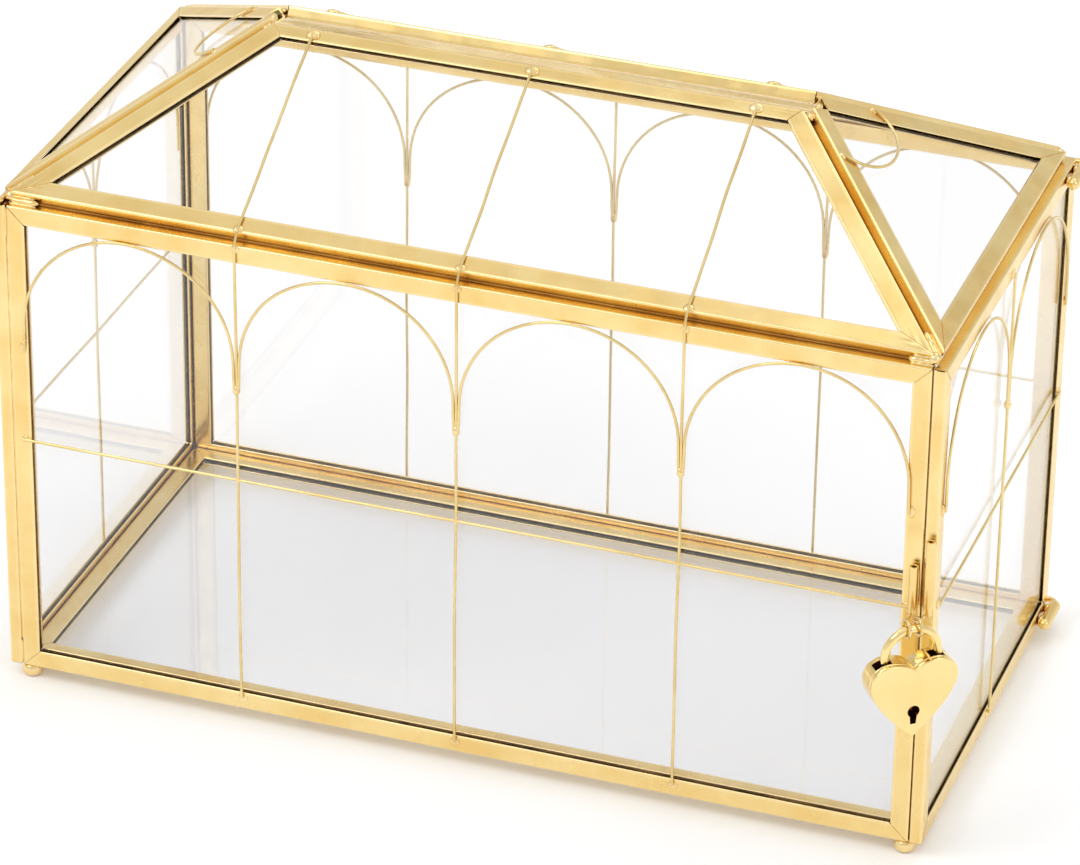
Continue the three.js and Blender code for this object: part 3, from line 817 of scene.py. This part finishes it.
def wavered(points, seed):
    # a hand-laid wire strays a little between its ends
    out = []
    for i, p in enumerate(points):
        t = i / (len(points) - 1)
        hold = math.sin(math.pi * t)
        x = math.sin(seed * 12.9 + t * 7.1) + 0.6 * math.sin(seed * 4.7 + t * 15.3)
        y = math.sin(seed * 7.7 + t * 6.3) + 0.6 * math.sin(seed * 3.1 + t * 13.7)
        out.append(p + Vector((x, y, 0)) * (wires["wobble"] * 0.6 * hold))
    return out


def straight(a, b, steps=24):
    return [a.lerp(b, i / steps) for i in range(steps + 1)]


def archPath(middle, radius, steps=36):
    springing = wires["archTop"] - radius
    node, lift = wires["node"], wires["lift"]
    pinch = wires["legOffset"] - wires["legPinch"]
    angles = [math.pi * i / steps for i in range(steps + 1)]
    arc = [Vector((middle - radius * math.cos(a), springing + radius * math.sin(a), lift)) for a in angles]
    foot = [Vector((middle - radius - pinch, node, lift)),
            Vector((middle - radius - pinch * wires["pinchEased"], node + wires["pinchRise"], lift))]
    far = [Vector((2 * middle - p.x, p.y, lift)) for p in reversed(foot)]
    return foot + arc + far


def wallWires(panel, bays, roof=None):
    w = wires
    bay = (panel.width - 2 * w["end"]) / bays
    seed = sum(map(ord, panel.name))
    lift, face = w["lift"], came["width"]

    def bead(on, x, y, z, size):
        addBead(panel.body, on.at(x, y, z), w[size], on.matrix)

    bar = straight(Vector((w["end"], w["bar"], w["barLift"])),
                   Vector((panel.width - w["end"], w["bar"], w["barLift"])), 60)
    lines = [wavered(bar, seed)]
    for i in range(bays):
        arch = archPath(w["end"] + (i + 0.5) * bay, bay / 2 - w["legOffset"])
        lines.append(wavered(arch, seed + i + 1))
    top = panel.height + w["overEave"] if roof else panel.height - w["end"]
    lines = [[panel.matrix @ p for p in line] for line in lines]
    for i in range(1, bays):
        x = w["end"] + i * bay
        upright = wavered(straight(Vector((x, w["end"], lift)), Vector((x, top, lift)), 40), seed + 20 + i)
        upright = [panel.matrix @ p for p in upright]
        if roof:
            local = roof.matrix.inverted() @ upright[-1]
            ridge = Vector((local.x, roof.height - w["end"] / 2, lift))
            slope = straight(Vector((local.x, 0, lift)), ridge)
            upright += [roof.matrix @ p for p in wavered(slope, seed + 30 + i)]
            bead(roof, local.x, roof.height - w["ridgeInset"], face + w["ridgePadLift"], "ridgePad")
            bead(roof, local.x, w["eaveInset"], face + w["eavePadLift"], "eavePad")
            bead(panel, x, panel.height - w["eaveInset"], face + w["eavePadLift"], "wallPad")
        else:
            bead(panel, x, top, face, "pad")
        lines.append(upright)
        bead(panel, x, w["end"] - w["footPadDrop"], face, "pad")
        bead(panel, x, w["node"], lift, "nodeBead")
        bead(panel, x, w["bar"], (lift + w["barLift"]) / 2, "crossing")
    for x in (w["end"], panel.width - w["end"]):
        bead(panel, x, w["bar"], face, "barPad")
        bead(panel, x, w["node"] + w["archPadRise"], face, "archPad")
    return lines


def hipLoopLine(panel, steps=40):
    w = wires
    middle = panel.width / 2
    line = []
    for i in range(steps + 1):
        angle = math.pi * i / steps
        line.append(panel.at(middle + w["loopHalfWidth"] * math.cos(angle),
                             w["loopHeight"] - w["loopDrop"] * math.sin(angle), w["lift"]))
    for side in (-1, 1):
        addBead("case", panel.at(middle + side * w["loopHalfWidth"], w["loopHeight"], came["width"]),
                w["loopPad"], panel.matrix)
    return line


def laidWire(name, lines, body, node, radius=wires["radius"], sides=wires["sides"]):
    mesh = grown(wire, chains(lines), {"Radius": radius, "Sides": sides, "Material": wireBrass,
                                       "Bend Radius": wires["bendRadius"]})
    crease(mesh, wires["crease"])
    return addPiece(name, mesh, body, [node])


for name, bays in (("front", 4), ("back", 4), ("left", 2), ("door", 2)):
    lines = wallWires(panels[name], bays, panels.get(f"{name}_roof"))
    laidWire(f"{name}_wires_laid", lines, panels[name].body, f"{name}_wires")
for name in ("right_hip", "left_hip"):
    laidWire(f"{name}_loop_laid", [hipLoopLine(panels[name])], "case", f"{name}_loop")
print("wires laid")


# solder in the seams between panels

seams = {
    "cornerGirth": 0.85 * mm,
    "ridgeGirth": 0.5 * mm,     # two thinner ridges lie beside the main run
    "ridgeSpread": 0.95 * mm,
    "runs": ((0, "cornerGirth", 1), (-1, "ridgeGirth", 0.93), (1, "ridgeGirth", 0.86)),
    "runDepth": 0.55,           # of the came's width
    "runInset": 0.1 * mm,
    "runTaper": 0.12,
    "cornerLength": 8.5 * mm,
    "reach": {"start": 1.0, "eaveEnd": 0.8, "ridgeEnd": 0.35},
    "edgeGirth": 0.42 * mm,
    "edgeAside": 0.15 * mm,
    "edgeSink": 0.1 * mm,
    "deepSink": 0.75 * mm,
    "cornerStar": (1.7 * mm, 1.5 * mm, 1.25 * mm),
    "starInset": (0.3 * mm, 0.2 * mm),
    "starDepth": 0.5,
    "mitreGirth": 0.3 * mm,
    "mitreSink": 0.42 * mm,
    "mitreTrim": (0.5 * mm, 0.3 * mm),
    # the groove's dark run of painted shade: its depth, girth and inset
    "fillDepth": 0.15 * mm,
    "fillGirth": 0.38 * mm,
    "fillInset": 0.5 * mm,
    "ridgeBlob": (2.6 * mm, 2.3 * mm, 1.5 * mm),
    "ridgeTack": (1.6 * mm, 1.0 * mm, 0.8 * mm),
    "blobDrop": 1.2 * mm,
    "blobDepth": 0.7,
    "blobAside": {"left_hip": 1.6 * mm, "right_hip": 0},
}


def grooveEnds(panel, other, startHere, startThere, endHere, endThere):
    # the middle line of the groove between two panels' outer edges
    return ((panel.at(*startHere) + other.at(*startThere)) / 2,
            (panel.at(*endHere) + other.at(*endThere)) / 2)


def grooves(depth):
    # for each seam between two panels: both panels and the seam's ends, at one depth in the came
    pairs = []
    for wall, roof in (("front", "front_roof"), ("back", "back_roof"), ("left", "left_hip")):
        low, high = panels[wall], panels[roof]
        over = (low.width - high.width) / 2
        pairs.append((low, high, (0, low.height, depth), (-over, 0, depth),
                      (low.width, low.height, depth), (high.width + over, 0, depth)))
    for roof, hip, roofRight in (("front_roof", "right_hip", True), ("back_roof", "right_hip", False),
                                 ("front_roof", "left_hip", False), ("back_roof", "left_hip", True)):
        a, b = panels[roof], panels[hip]
        first = (a.outline[1], a.outline[2]) if roofRight else (a.outline[0], a.outline[3])
        second = (b.outline[0], b.outline[3]) if roofRight else (b.outline[1], b.outline[2])
        pairs.append((a, b, *[(*corner, depth) for corner in (first[0], second[0], first[1], second[1])]))
    return [(a, b, *grooveEnds(a, b, *spots)) for a, b, *spots in pairs]


def solderGrooves():
    g = seams
    # a thin dark run of painted shade along the bottom of each groove
    for a, b, start, end in grooves(g["fillDepth"]):
        way = (end - start).normalized() * g["fillInset"]
        shadeLines.append(([start + way, end - way], [g["fillGirth"]] * 2))
    for a, b, start, end in grooves(came["width"] * g["runDepth"]):
        along = (end - start).normalized()
        beside = (a.outward + b.outward).normalized().cross(along)
        endReach = g["reach"]["ridgeEnd" if abs(along.z) > 0.1 else "eaveEnd"]
        for place, way, reach in ((start, along, g["reach"]["start"]), (end, -along, endReach)):
            for offset, girth, share in g["runs"]:
                side = beside * offset * g["ridgeSpread"]
                addRun("case", place + way * g["runInset"] + side,
                       place + way * g["cornerLength"] * reach * share + side, g[girth], g["runTaper"])


def solderUprights():
    # wall corners: the side walls' edges beside the long walls' faces
    g = seams
    for wall, x in (("front", 0), ("back", panels["back"].width)):
        panel = panels[wall]
        x += (-1 if x == 0 else 1) * g["edgeAside"]
        high = panel.height
        for low, top, sink, taper in ((0.5 * mm, 8 * mm, g["edgeSink"], 0.4),
                                      (high - 9 * mm, high - 0.3 * mm, g["edgeSink"], 0.4),
                                      (1 * mm, high - 1 * mm, g["deepSink"], 0.05)):
            z = came["width"] - sink
            addRun("case", panel.at(x, low, z), panel.at(x, top, z), g["edgeGirth"], taper=taper)


def solderRidge():
    # the left tip carries a thick blob, the right tip is wiped clean
    for name, size in (("left_hip", seams["ridgeBlob"]), ("right_hip", seams["ridgeTack"])):
        hip = panels[name]
        place = hip.at(hip.width / 2 + seams["blobAside"][name], hip.height - seams["blobDrop"],
                       came["width"] * seams["blobDepth"])
        addBead("case", place, size, hip.matrix)


def solderCorners():
    # a star of solder where a wall, a roof slope and a hip meet
    across, up = seams["starInset"]
    depth = came["width"] * seams["starDepth"]
    for roofName, x in (("front_roof", 0), ("front_roof", 1), ("back_roof", 0), ("back_roof", 1)):
        roof = panels[roofName]
        corner = roof.outline[x]
        side = -1 if x == 0 else 1
        addBead("case", roof.at(corner.x - side * across, corner.y + up, depth),
                seams["cornerStar"], roof.matrix)


def solderMitres():
    # thin fillets that close the mitres, set just below the came's face
    outer, inner = seams["mitreTrim"]
    for panel in panels.values():
        outline = panel.outline
        for i, corner in enumerate(outline):
            if sides[i] not in panel.sides or sides[i - 1] not in panel.sides:
                continue
            reach = panel.innerCorners[i] - corner
            inward = reach.normalized()
            for z in (seams["mitreSink"], came["width"] - seams["mitreSink"]):
                start, end = corner + inward * outer, corner + reach - inward * inner
                points = [panel.at(*start.lerp(end, t), z) for t in (0, 0.5, 1)]
                solderRuns[panel.body].append((points, [seams["mitreGirth"]] * 3))


solderGrooves()
solderUprights()
solderRidge()
solderCorners()
solderMitres()
print("seams marked")


# turned pieces: tubes and feet

turnedCrease = 35


def lathed(rings, closed, segments=48):
    # rings of (radius, height), turned about Z
    turned = bmesh.new()
    loops = []
    for radius, height in rings:
        if radius < 1e-9:
            loops.append([turned.verts.new((0, 0, height))] * segments)
            continue
        loops.append([turned.verts.new((radius * math.cos(2 * math.pi * i / segments),
                                        radius * math.sin(2 * math.pi * i / segments), height))
                      for i in range(segments)])
    pairs = list(zip(loops, loops[1:])) + ([(loops[-1], loops[0])] if closed else [])
    for low, high in pairs:
        for i in range(segments):
            j = (i + 1) % segments
            corners = list(dict.fromkeys((low[i], low[j], high[j], high[i])))
            if len(corners) > 2:
                turned.faces.new(corners)
    bmesh.ops.recalc_face_normals(turned, faces=turned.faces)
    mesh = meshOf(turned)
    mesh.shade_smooth()
    crease(mesh, turnedCrease)
    return mesh


def standing(mesh, node):
    # moves a turned mesh to where its node stands
    low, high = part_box(node)
    mesh.transform(Matrix.Translation(((low.x + high.x) / 2, (low.y + high.y) / 2, low.z)))
    return mesh


def alongY(mesh, x, y, z):
    # lays a turned mesh down along Y, its foot at the given place
    mesh.transform(Matrix.Translation((x, y, z)) @ Matrix.Rotation(math.radians(-90), 4, "X"))
    return mesh


def roundedTube(radius, bore, length, edge):
    rings = []
    for centreRadius, height, start in ((radius - edge, edge, 270), (radius - edge, length - edge, 0),
                                        (bore + edge, length - edge, 90), (bore + edge, edge, 180)):
        for k in range(5):
            angle = math.radians(start + 22.5 * k)
            rings.append((centreRadius + edge * math.cos(angle), height + edge * math.sin(angle)))
    return lathed(rings, True)


tubes = {
    "hinge_tube": {"bore": 1.0 * mm, "body": "case"},
    "case_latch_tube": {"bore": 0.65 * mm, "body": "case"},
    "door_latch_tube": {"bore": 0.65 * mm, "body": "door"},
}
tubeEdge = 0.12 * mm
tubeSolder = {"aside": 0.75, "sink": 0.1 * mm, "below": 0.6 * mm, "above": 0.8 * mm, "girth": 0.55 * mm,
              "hingeInset": 0.2 * mm, "hingeRun": 6 * mm, "hingeGirth": 0.8 * mm,
              "hingeShares": (0.03, 0.48, 0.93)}
for node, t in tubes.items():
    low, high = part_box(node)
    mesh = standing(roundedTube((high.x - low.x) / 2, t["bore"], high.z - low.z, tubeEdge), node)
    mesh.materials.append(cameBrass)
    addPiece(f"{node}_rolled", mesh, t["body"], [node])


def solderTubes(t):
    # fillets that hold the latch tubes on their came, and the hinge tube on the back wall
    for node, body in (("case_latch_tube", "case"), ("door_latch_tube", "door")):
        low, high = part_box(node)
        radius = (high.x - low.x) / 2
        for side in (-1, 1):
            x, y = (low.x + high.x) / 2 + side * radius * t["aside"], high.y - t["sink"]
            addRun(body, Vector((x, y, low.z + t["below"])), Vector((x, y, high.z - t["above"])),
                   t["girth"], taper=0.3)
    low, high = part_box("hinge_tube")
    x, y = low.x + t["hingeInset"], low.y + t["hingeInset"]
    for share in t["hingeShares"]:
        z = low.z + (high.z - low.z) * share
        addRun("case", Vector((x, y, z)), Vector((x, y, z + t["hingeRun"])), t["hingeGirth"])


solderTubes(tubeSolder)

feet = {"flat": 0.55, "steps": 14, "solder": 0.8, "solderHeight": 0.5 * mm, "solderLift": 0.1 * mm}
for row in ("front", "back"):
    for end in ("left", "right"):
        node = f"foot_{row}_{end}"
        low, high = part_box(node)
        radius, height = (high.x - low.x) / 2, high.z - low.z
        rings = [(0, 0), (radius * feet["flat"], 0)]
        for k in range(1, feet["steps"]):
            angle = math.pi * (k / feet["steps"] - 0.5)
            rings.append((radius * (feet["flat"] + (1 - feet["flat"]) * math.cos(angle)),
                          height * (0.5 + 0.5 * math.sin(angle))))
        rings += [(radius * feet["flat"], height), (0, height)]
        mesh = standing(lathed(rings, False), node)
        mesh.materials.append(solderMetal)
        addPiece(f"{node}_turned", mesh, "case", [node])
        addBead("case", ((low.x + high.x) / 2, (low.y + high.y) / 2, high.z + feet["solderLift"]),
                (radius * feet["solder"], radius * feet["solder"], feet["solderHeight"]))
print("tubes and feet turned")


# door hinge: one bent wire in a tube

hinge = {
    "wireRadius": 0.8 * mm,
    "sleeveRadius": 1.7 * mm,
    "sleeveLength": 10 * mm,
    "bend": 2.4 * mm,
    "solder": (0.9 * mm, 2.1 * mm, 1.5 * mm),
    "solderAside": 0.8,
    "solderShares": (0.12, 0.8),
}


def makeHingeWire(h):
    axis = Vector(next(j for j in frame["joints"] if j["name"] == "door_hinge")["pos_m"])
    low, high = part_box("hinge_wire")
    armX = high.x - h["sleeveRadius"]
    bottom, top = low.z + h["sleeveRadius"], high.z - h["sleeveRadius"]
    front = low.y + h["sleeveRadius"]
    line = [Vector((armX, front, bottom)), Vector((armX, axis.y, bottom)), Vector((axis.x, axis.y, bottom)),
            Vector((axis.x, axis.y, top)), Vector((armX, axis.y, top)), Vector((armX, front, top))]
    mesh = grown(wire, chains([line]), {"Radius": h["wireRadius"], "Sides": 24, "Bend Radius": h["bend"],
                                        "Material": cameBrass})
    sleeves = []
    length, radius = h["sleeveLength"], h["sleeveRadius"]
    quarter = [math.pi * k / 20 for k in range(11)]
    rings = [(radius * math.sin(a), -radius * math.cos(a)) for a in quarter]
    rings += [(radius * math.cos(a), length + radius * math.sin(a)) for a in quarter]
    for z in (bottom, top):
        sleeves.append(alongY(lathed([(r if r > 1e-8 else 0, y) for r, y in rings], False), armX, front, z))
        for share in h["solderShares"]:
            addBead("door", (armX - radius * h["solderAside"], front + share * length, z), h["solder"])
    whole = mergedMesh([mesh] + sleeves, cameBrass)
    crease(whole, wires["crease"])
    addPiece("hinge_wire_bent", whole, "door", ["hinge_wire"])


makeHingeWire(hinge)


# padlock, in its own frame: x across the lock, y towards the box, z up, origin at the shackle's crown

swing = next(j for j in frame["joints"] if j["name"] == "padlock_swing")
across = -Vector(swing["axis"]).normalized()
lockFrame = Matrix((across, Vector((0, 0, 1)).cross(across), (0, 0, 1))).transposed().to_4x4()
lockFrame.translation = Vector(swing["pos_m"])

lock = {
    "shackleRadius": 7.3 * mm,
    "shackleWire": 1.15 * mm,
    "freeEnd": -11.4 * mm,
    "pivotEnd": -12.0 * mm,
    "halfWidth": 12 * mm,
    "halfHeight": 11 * mm,
    "notch": 8.7 * mm,
    "centre": -19.3 * mm,
    "front": -3.25 * mm,
    "back": 3.25 * mm,
    "face": 1.1 * mm,
    "gap": 0.3 * mm,
    "edge": 0.4 * mm,
    "keyholeDrop": 3.4 * mm,
    "keyholeRound": 1.65 * mm,
    "keyholeSlot": 0.95 * mm,
    "keyholeLength": 3.7 * mm,
    "chamberRadius": 2.6 * mm,
    "chamberDepth": 3 * mm,
    "pocketClearance": 0.35 * mm,
    "pivotPocket": {"left": 2.9 * mm, "right": 1.6 * mm, "below": 0.6 * mm},
    "freePocket": {"left": 2.5 * mm, "right": 1.55 * mm, "below": 0.8 * mm},
    "pinRadius": 0.6 * mm,
    "pinRound": 0.25 * mm,
    "pinShort": 0.5 * mm,       # the pin ends this much before the chamber does
    "rim": 0.14 * mm,
    "overlap": 1 * mm,          # cutters start this far outside what they cut
    "margin": 0.05 * mm,        # for telling a cavity's walls from the rest
    "crease": 40,
    "bodyCrease": 32,
}


def bezier(a, b, c, d, steps=14):
    found = []
    for i in range(steps):
        t = i / steps
        u = 1 - t
        found.append(Vector((u ** 3 * a[k] + 3 * u * u * t * b[k] + 3 * u * t * t * c[k] + t ** 3 * d[k]
                             for k in (0, 1))))
    return found


def heartOutline():
    w, h, notch = lock["halfWidth"], lock["halfHeight"], lock["notch"]
    right = [((0, notch), (0.1 * w, 0.92 * h), (0.3 * w, h), (0.54 * w, h)),
             ((0.54 * w, h), (0.81 * w, h), (w, 0.8 * h), (w, 0.5 * h)),
             ((w, 0.5 * h), (w, 0.12 * h), (0.56 * w, -0.5 * h), (0, -h))]
    half = [p for curve in right for p in bezier(*curve)]
    mirrored = [Vector((-p.x, p.y)) for p in reversed(half[1:])]
    clockwise = half + [Vector((0, -h))] + mirrored
    return list(reversed(clockwise))


def keyholeOutline():
    r, slot = lock["keyholeRound"], lock["keyholeSlot"]
    length, drop = lock["keyholeLength"], lock["keyholeDrop"]
    start = -math.acos(slot / r)
    arc = [Vector((r * math.cos(a), r * math.sin(a) - drop))
           for a in (start + (math.pi - 2 * start) * i / 32 for i in range(33))]
    return arc + [Vector((-0.8 * slot, -length - drop)), Vector((0.8 * slot, -length - drop))]


def insetLoop(outline, distance):
    # each point moved in along the bisector of its two edges
    found = []
    for i, p in enumerate(outline):
        a = leftOf(outline[i - 1], p)
        b = leftOf(p, outline[(i + 1) % len(outline)])
        way = (a + b).normalized()
        found.append(p + way * distance / max(0.35, way.dot(a)))
    return found


def stackedPlate(outline, levels, hole=None, holeLevels=None):
    # levels of (inset, depth along y) from back to front; the hole's walls follow holeLevels
    plate = bmesh.new()

    def ringsOf(loop, steps, flip):
        rings = [[plate.verts.new((p.x, y, p.y + lock["centre"])) for p in insetLoop(loop, inset)]
                 for inset, y in steps]
        for low, high in zip(rings, rings[1:]):
            for i in range(len(loop)):
                j = (i + 1) % len(loop)
                corners = (low[i], low[j], high[j], high[i])
                plate.faces.new(corners if not flip else corners[::-1])
        return rings[0], rings[-1]

    ends = [ringsOf(outline, levels, False)]
    if hole:
        ends.append(ringsOf(hole, holeLevels, True))
    for which in (0, 1):
        rim = []
        for pair in ends:
            ring = pair[which]
            rim += [plate.edges.get((ring[i - 1], ring[i])) for i in range(len(ring))]
        bmesh.ops.triangle_fill(plate, use_beauty=True, use_dissolve=False, edges=rim)
    bmesh.ops.recalc_face_normals(plate, faces=plate.faces)
    mesh = meshOf(plate)
    mesh.shade_smooth()
    crease(mesh, lock["crease"])
    return mesh


def quarterRound(size, steps):
    # (inset, rise) from the flat face over a round edge of this size
    angles = [math.pi / 2 * k / steps for k in range(steps + 1)]
    return [(size * (1 - math.cos(a)), size * (1 - math.sin(a))) for a in angles]


def roundedLevels(front, back, edge, both=True, steps=5):
    levels = [(0, back)]
    if both:
        levels = [(inset, back - rise) for rise, inset in quarterRound(edge, steps)]
    return levels + [(inset, front + rise) for inset, rise in quarterRound(edge, steps)]


def cutFrom(mesh, tools):
    # exact boolean difference, made plain at once
    block = bpy.data.objects.new("block", mesh)
    scene.collection.objects.link(block)
    spent = [block]
    for tool in tools:
        cutter = bpy.data.objects.new("cutter", tool)
        scene.collection.objects.link(cutter)
        spent.append(cutter)
        cut = block.modifiers.new("cut", "BOOLEAN")
        cut.operation, cut.solver, cut.object = "DIFFERENCE", "EXACT", cutter
    made = bpy.data.meshes.new_from_object(block.evaluated_get(bpy.context.evaluated_depsgraph_get()))
    for obj in spent:
        bpy.data.objects.remove(obj)
    return made


def blockMesh(low, high):
    block = bmesh.new()
    bmesh.ops.create_cube(block, size=1)
    size = Vector(high) - Vector(low)
    block.transform(Matrix.Translation((Vector(low) + Vector(high)) / 2) @ Matrix.Diagonal((*size, 1)))
    return meshOf(block)


def inHeart(x, y):
    # true well inside the heart's outline, where only a pocket's walls can be
    loop = insetLoop(heartOutline(), lock["edge"] + 0.1 * mm)
    inside = False
    for a, b in zip(loop, loop[1:] + loop[:1]):
        if (a.y > y) != (b.y > y) and x < a.x + (y - a.y) * (b.x - a.x) / (b.y - a.y):
            inside = not inside
    return inside


def makePadlock(k):
    bodyFront = k["front"] + k["face"] + k["gap"]
    keyZ = k["centre"] - k["keyholeDrop"]
    top = k["centre"] + k["halfHeight"] + 2 * mm
    deep = k["shackleWire"] + k["pocketClearance"]
    r = k["shackleRadius"]
    pockets = []
    for legX, legEnd, pocket in ((-r, k["pivotEnd"], k["pivotPocket"]), (r, k["freeEnd"], k["freePocket"])):
        pockets.append(blockMesh((legX - pocket["left"], -deep, legEnd - pocket["below"]),
                                 (legX + pocket["right"], deep, top)))
    radius, length = k["chamberRadius"], k["chamberDepth"] + k["overlap"]
    chamber = lathed([(0, 0), (radius, 0), (radius, length), (0, length)], False)
    pockets.append(alongY(chamber, 0, bodyFront - k["overlap"], keyZ))
    keywayBack = bodyFront + k["chamberDepth"] - 0.2 * mm
    keyhole = keyholeOutline()
    pockets.append(stackedPlate(keyhole, [(0, keywayBack), (0, bodyFront - k["overlap"])]))
    body = stackedPlate(heartOutline(), roundedLevels(bodyFront, k["back"], k["edge"]))
    body = cutFrom(body, pockets)
    crease(body, k["bodyCrease"])
    faceFront, faceBack = k["front"], k["front"] + k["face"]
    holeLevels = [(0, faceBack)] + [(-inset, faceFront + rise) for inset, rise in quarterRound(k["rim"], 3)]
    face = stackedPlate(heartOutline(), roundedLevels(faceFront, faceBack, k["edge"] * 0.8, both=False),
                        keyhole, holeLevels)
    radius, end = k["pinRadius"], k["chamberDepth"] - k["pinShort"]
    angles = [math.pi / 2 * i / 4 for i in range(1, 5)]
    tip = [(radius * math.sin(a), k["pinRound"] * (1 - math.cos(a))) for a in angles]
    pin = lathed([(0, 0), *tip, (radius, end), (0, end)], False, 24)
    alongY(pin, 0, bodyFront + 0.2 * mm, keyZ)
    steps = 40
    line = [Vector((-r, 0, k["pivotEnd"]))]
    line += [Vector((-r * math.cos(math.pi * i / steps), 0, r * (math.sin(math.pi * i / steps) - 1)))
             for i in range(steps + 1)]
    line.append(Vector((r, 0, k["freeEnd"])))
    shackle = grown(wire, chains([line]), {"Radius": k["shackleWire"], "Sides": 28, "Bend Radius": 0.1 * mm,
                                           "Material": lockGold})
    crease(shackle, wires["crease"])
    made = {"padlock_body": body, "padlock_face": face, "padlock_key_pin": pin, "padlock_shackle": shackle}
    for name, mesh in made.items():
        mesh.materials.clear()
        mesh.materials.append(lockGold)
        mesh.materials.append(lockCore)
        for polygon in mesh.polygons:
            x, y, z = polygon.center
            inSlot = abs(x) < k["keyholeSlot"] and abs(z - keyZ) < k["keyholeLength"] + k["margin"]
            inChamber = math.hypot(x, z - keyZ) < k["chamberRadius"] + k["margin"]
            inKeyway = (inSlot or inChamber) and y > bodyFront + k["margin"]
            inPocket = abs(y) < deep + 0.01 * mm
            cavity = name == "padlock_body" and (inKeyway and y < bodyFront + k["chamberDepth"] + 0.1 * mm
                                                 or inPocket and inHeart(x, z - k["centre"]))
            # the pockets, keyway and key pin take the dark painted shade material, the rest stays gold
            polygon.material_index = 1 if cavity or name == "padlock_key_pin" else 0
        mesh.transform(lockFrame)
        addPiece(f"{name}_cast", mesh, "shackle" if mesh == shackle else "padlock", [name])


makePadlock(lock)
print("padlock cast")


# wire eyes that hang from the latch tubes

eyes = {"radius": 2.3 * mm, "wire": 0.42 * mm, "spread": 1.6 * mm, "rise": 0.4 * mm,
        "knee": 0.6 * mm, "dip": 1.1 * mm, "tail": 7 * mm, "bead": (0.62 * mm, 0.62 * mm, 0.62 * mm)}


def makeEye(node, tubeNode, side, body):
    low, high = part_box(tubeNode)
    tubeX, tubeY, bottom = (low.x + high.x) / 2, (low.y + high.y) / 2, low.z
    centre = lockFrame @ Vector((side * eyes["spread"], 0, eyes["rise"]))
    inward = lockFrame.to_3x3() @ Vector((0, 1, 0))
    up = Vector((0, 0, 1))
    ring = [centre + inward * eyes["radius"] * math.cos(a) + up * eyes["radius"] * math.sin(a)
            for a in (2 * math.pi * i / 48 for i in range(49))]
    knee = Vector((tubeX, tubeY, bottom + eyes["knee"]))
    join = centre + inward * eyes["radius"]
    dip = knee.lerp(join, 0.5)
    dip.z = bottom - eyes["dip"]
    leg = []
    for i in range(25):
        t = i / 24
        leg.append(knee * (1 - t) ** 2 + dip * 2 * t * (1 - t) + join * t * t)
    leg = [Vector((tubeX, tubeY, bottom + eyes["tail"]))] + leg
    laidWire(f"{node}_bent", [ring, leg], body, node, radius=eyes["wire"], sides=16)
    addBead(body, join, eyes["bead"])


makeEye("case_eye", "case_latch_tube", -1, "case")
makeEye("door_eye", "door_latch_tube", 1, "door")
print("eyes bent")


# solder flows last

solderLook = {"beadLumps": 0.45, "runLumps": 0.8, "fillLumps": 0.3, "seed": 4.0}


def grownRuns(runs, lumps, turn, material, **shape):
    lines, girths = zip(*runs)
    source = chains(lines, girth=[g for line in girths for g in line])
    return grown(seam, source, {"Lumpiness": lumps, "Seed": solderLook["seed"] + turn,
                                "Material": material, **shape})


def flowSolder(body):
    places, sizes, turns = zip(*solderBeads[body])
    source = chains([[p] for p in places], size=[tuple(v) for v in sizes], turn=turns)
    meshes = [grown(beads, source, {"Lumpiness": solderLook["beadLumps"], "Seed": solderLook["seed"],
                                    "Material": solderMetal}),
              grownRuns(solderRuns[body], solderLook["runLumps"], 1, solderMetal)]
    addPiece(f"{body}_solder", mergedMesh(meshes, solderMetal), body)


def layShadeLines():
    # the grooves' dark runs of painted shade
    fill = grownRuns(shadeLines, solderLook["fillLumps"], 2, tarnish, Step=1 * mm, Sides=10)
    addPiece("case_seam_fill", mergedMesh([fill], tarnish), "case")


for body in ("case", "door"):
    flowSolder(body)
layShadeLines()
print("solder flowed")
